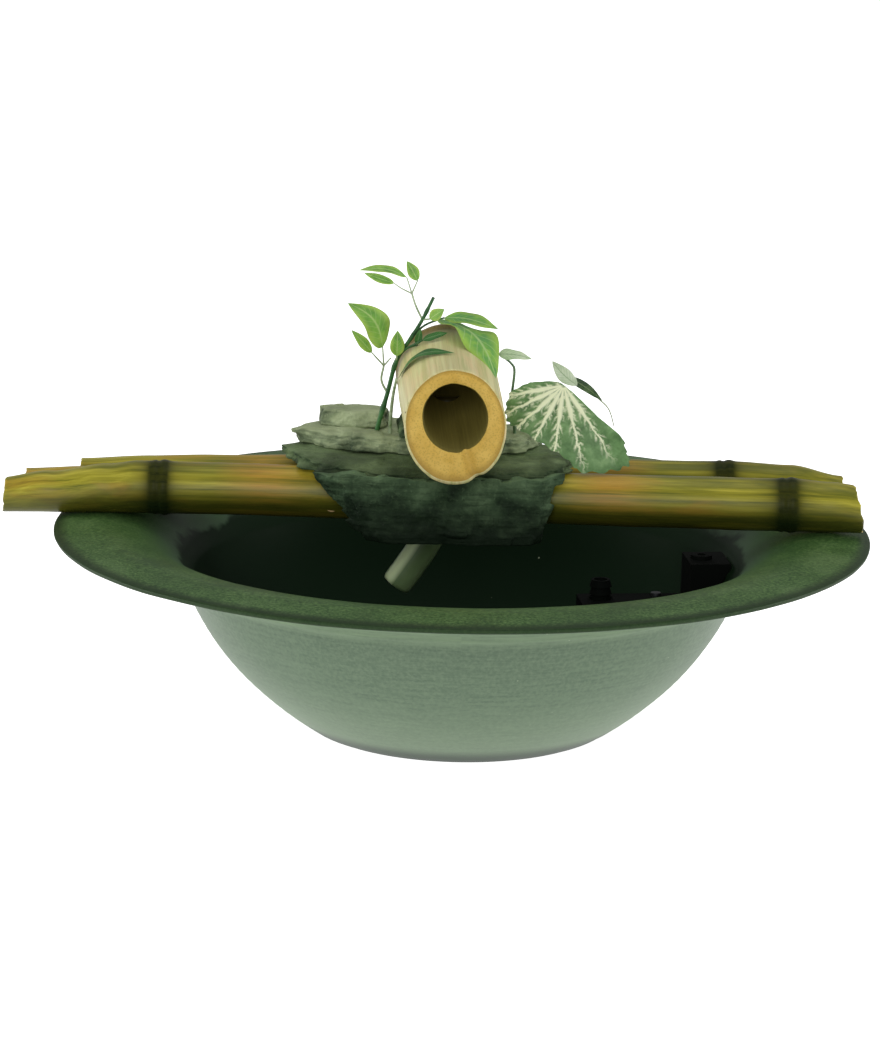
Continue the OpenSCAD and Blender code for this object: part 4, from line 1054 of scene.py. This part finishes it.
def make_heart_leaf():
    """A domed, scalloped leaf with raised ribs that leans back over the front cane."""
    corners = [Vector((x, y, 0)) for x, y in HEART_OUTLINE]
    around = curve_through(corners + [corners[0]], 10)[:-1]
    origin = Vector((-1, -1.2, 0))
    tall = Vector((0, math.sin(HEART_TILT), math.cos(HEART_TILT)))
    face = Vector((0, -math.cos(HEART_TILT), math.sin(HEART_TILT)))
    veins = [(math.cos(math.radians(d)), math.sin(math.radians(d))) for d in HEART_VEINS]

    def lift(p):
        ribs = 0
        for c, s in veins:
            if p.x * c + p.y * s > 1:
                ribs += math.exp(-(abs(p.x * s - p.y * c) / 1.1) ** 2)
        dome = 0.9 - 0.011 * (p.x - 2) ** 2 * 0.6
        return dome + 0.25 * min(1.0, ribs) + 0.5 * math.sin(p.x / 5 + p.y / 9) - 0.0025 * (p.y + 16) ** 2

    def place(p, height):
        return HEART_AT + Vector((p.x, 0, 0)) + p.y * tall + height * face

    rows, count = 26, len(around)
    verts, faces, grain = [], [], []
    for side in (1, -1):
        for share in [i / rows for i in range(1, rows + 1)]:
            for n, rim in enumerate(around):
                scallop = 1 + 0.018 * math.sin(n * 1.05) * share ** 8
                p = origin.lerp(rim, share * scallop)
                verts.append(place(p, lift(p) + side * 0.2 * (1 - share ** 6 * 0.85)))
                grain.append((p.x, p.y, side))
        verts.append(place(origin, lift(origin) + side * 0.2))
        grain.append((origin.x, origin.y, side))
    size, edge = len(verts) // 2, (rows - 1) * count
    for k in range(count):
        k2 = (k + 1) % count
        for start, order in ((0, -1), (size, 1)):
            faces.append((start + size - 1, start + k, start + k2)[::order])
            for a in range(start, start + edge, count):
                faces.append((a + k, a + count + k, a + count + k2, a + k2)[::order])
        faces.append((size + edge + k, size + edge + k2, edge + k2, edge + k))
    leaf = make_object("heart_leaf_blade", verts, faces, grain)
    finish_piece(leaf, [heart_material()], "raft", "heart_leaf")
    make_behind_heart(HEART_AT + Vector((-1, 0, 0)) - 0.4 * face, face)


def make_behind_heart(joint, face):
    """The stem that carries the heart leaf, a dry stalk, and a pale and a dark leaf that show above it."""
    stem = stem_material("stem_back", (150, 178, 120), (70, 112, 60))
    dry = stem_material("stalk_dry", (206, 214, 190), (160, 176, 140))
    # painted light: the pale leaf's near-white tone is partly its own colour and partly stands in for light
    # shining through it
    milky = leaf_material("leaf_back_milky", (252, 255, 244), (236, 248, 222), (190, 216, 172),
                          (170, 200, 150))
    shade = leaf_material("leaf_back_dark", (120, 150, 96), (58, 92, 50), (30, 62, 34), (150, 176, 120))
    make_stalks("back_dry_stalk", dry, "back_leaf", "leaf_fresh",
                (0.6, 0.35, (49.6, 10, 121.6), (53.5, 11, 117.5), (55.7, 12, 111)))
    make_stalks("back_stem_tube", stem, "back_leaf", "leaf_fresh",
                (1.6, 1.1, *upright(20.5, 30), (25, 24, 113), (31, 16, 121), joint - 3 * face, joint))
    make_leaves("back_leaf_pale_blade", milky, "back_leaf", "leaf_fresh",
                ((41.5, 9, 126.5), (32.2, 13, 134.8), 5.4, FACING, dict(droop=0.6, bow=-0.8)))
    make_leaves("back_leaf_dark_blade", shade, "back_leaf", "leaf_fresh",
                ((37.5, 11, 129.5), (51, 10, 120.8), 3.4, FACING, dict(droop=0.8, bow=-0.5)))


# Pump and pins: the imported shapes, with moulded, ground and wound finishes

PLAIN_FINISHES = (    # nodes, material, tone and what else plain_material takes
    (("pump_housing", "housing_cap", "outlet_spigot", "chamber_cover"), "pump_black", (8, 13, 9),
     dict(roughness=0.8, specular=0.08)),
    (("terminal_box", "terminal_lid", "cable_gland"), "box_black", (8, 12, 8),
     dict(roughness=0.75, specular=0.08)),
    (("cover_seal", "rear_bush", "front_bush"), "rubber_dark", (34, 38, 34), dict(roughness=0.65)),
    (("cross_pins",), "dowel_wood", (200, 168, 120), dict(roughness=0.6, grain_size=400)),
    (("flow_dial",), "dial_grey", (52, 58, 50), dict(roughness=0.5)),
    (("impeller",), "impeller_white", (214, 216, 210), dict(roughness=0.4)),
    (("rotor_magnet",), "magnet_grey", (62, 64, 68), dict(roughness=0.4, metallic=0.6)),
    (("rotor_shaft",), "shaft_white", (232, 230, 220), dict(roughness=0.25, relief=0.01)),
    (("stator_core",), "core_grey", (150, 152, 154), dict(roughness=0.4, metallic=0.9)),
    (("stator_coils",), "coil_red", (184, 112, 52), dict(roughness=0.35, metallic=0.7)),
    (("cap_screws",), "screw_grey", (96, 98, 100), dict(roughness=0.45, metallic=1.0)),
    (("suction_cups",), "cup_grey", (58, 66, 58), dict(roughness=0.5)))


def plain_material(name, tone, roughness, metallic=0.0, grain_size=900, relief=0.04, specular=0.4):
    """One tone with a fine grain."""
    s = Shader(name, roughness=roughness, specular=specular, metallic=metallic)
    cloud = s.noise(s.place(), grain_size, 3, 0.6)
    s.feed("Base Color", s.ramp(cloud, (0.35, darker(tone, 0.8)), (0.65, tone)))
    s.bump(cloud, relief, 0.6)
    return s.mat


def dress_nodes():
    """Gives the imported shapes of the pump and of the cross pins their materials."""
    for nodes, name, tone, form in PLAIN_FINISHES:
        material = plain_material(name, tone, **form)
        for node in nodes:
            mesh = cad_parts[node].data
            mesh.materials.clear()
            mesh.materials.append(material)


make_bowl()
make_canes()
make_spout()
make_slates()
make_plants()
make_heart_leaf()
dress_nodes()


# Stage: white floor and backdrop, broad soft lights

FLOOR_GLOW = 0.5    # light from the floor, as from a lit white table
FLOOR_LIFT = 0.5    # light that only the camera sees, so that the floor is white and its shadow stays faint
SKY_LIGHT = 0.4     # strength of the backdrop's light on the object
SKY_SEEN = 1.2      # strength of the backdrop as the camera sees it
LAMPS_AT = Vector((0, 0, 0.07))
LAMPS = (           # name, place in metres, diameter in metres, power in watts
    ("front", (-0.25, -1.7, 0.7), 1.0, 9), ("left", (-1.5, 0.1, 0.12), 0.7, 10.5),
    ("right", (1.5, 0.1, 0.12), 0.7, 10.5), ("top", (0.1, 0.2, 1.4), 0.9, 2))


def make_stage():
    """A white floor, a backdrop that looks brighter than it shines, and the lamps."""
    floor = make_object("floor", [(-3000, -3000, -0.2), (3000, -3000, -0.2), (3000, 3000, -0.2),
                                  (-3000, 3000, -0.2)], [(0, 1, 2, 3)], smooth=False)
    s = Shader("floor_white", roughness=0.9, specular=0.0, colour=0.92)
    seen = s.node("ShaderNodeLightPath").outputs["Is Camera Ray"]
    s.set("Emission Color", (1, 1, 1, 1))
    s.feed("Emission Strength", s.plus(s.times(seen, FLOOR_LIFT), FLOOR_GLOW))
    floor.data.materials.append(s.mat)
    world = bpy.data.worlds.new("studio")
    bpy.context.scene.world = world
    world.use_nodes = True
    tree = world.node_tree
    shines, looks = (add_node(tree, "ShaderNodeBackground", {"Color": (1, 1, 1, 1), "Strength": strength})
                     .outputs[0] for strength in (SKY_LIGHT, SKY_SEEN))
    seen = add_node(tree, "ShaderNodeLightPath").outputs["Is Camera Ray"]
    sky = add_node(tree, "ShaderNodeMixShader", {0: seen, 1: shines, 2: looks})
    out = next(n for n in tree.nodes if n.type == "OUTPUT_WORLD")
    tree.links.new(sky.outputs[0], out.inputs["Surface"])
    for name, place, size, power in LAMPS:
        data = bpy.data.lights.new(name, "AREA")
        data.shape = "DISK"
        data.size = size
        data.energy = power
        lamp = bpy.data.objects.new(name, data)
        bpy.context.scene.collection.objects.link(lamp)
        lamp.location = place
        lamp.rotation_euler = (LAMPS_AT - Vector(place)).to_track_quat("-Z", "Y").to_euler()
    bpy.context.scene.view_settings.view_transform = "Standard"


make_stage()
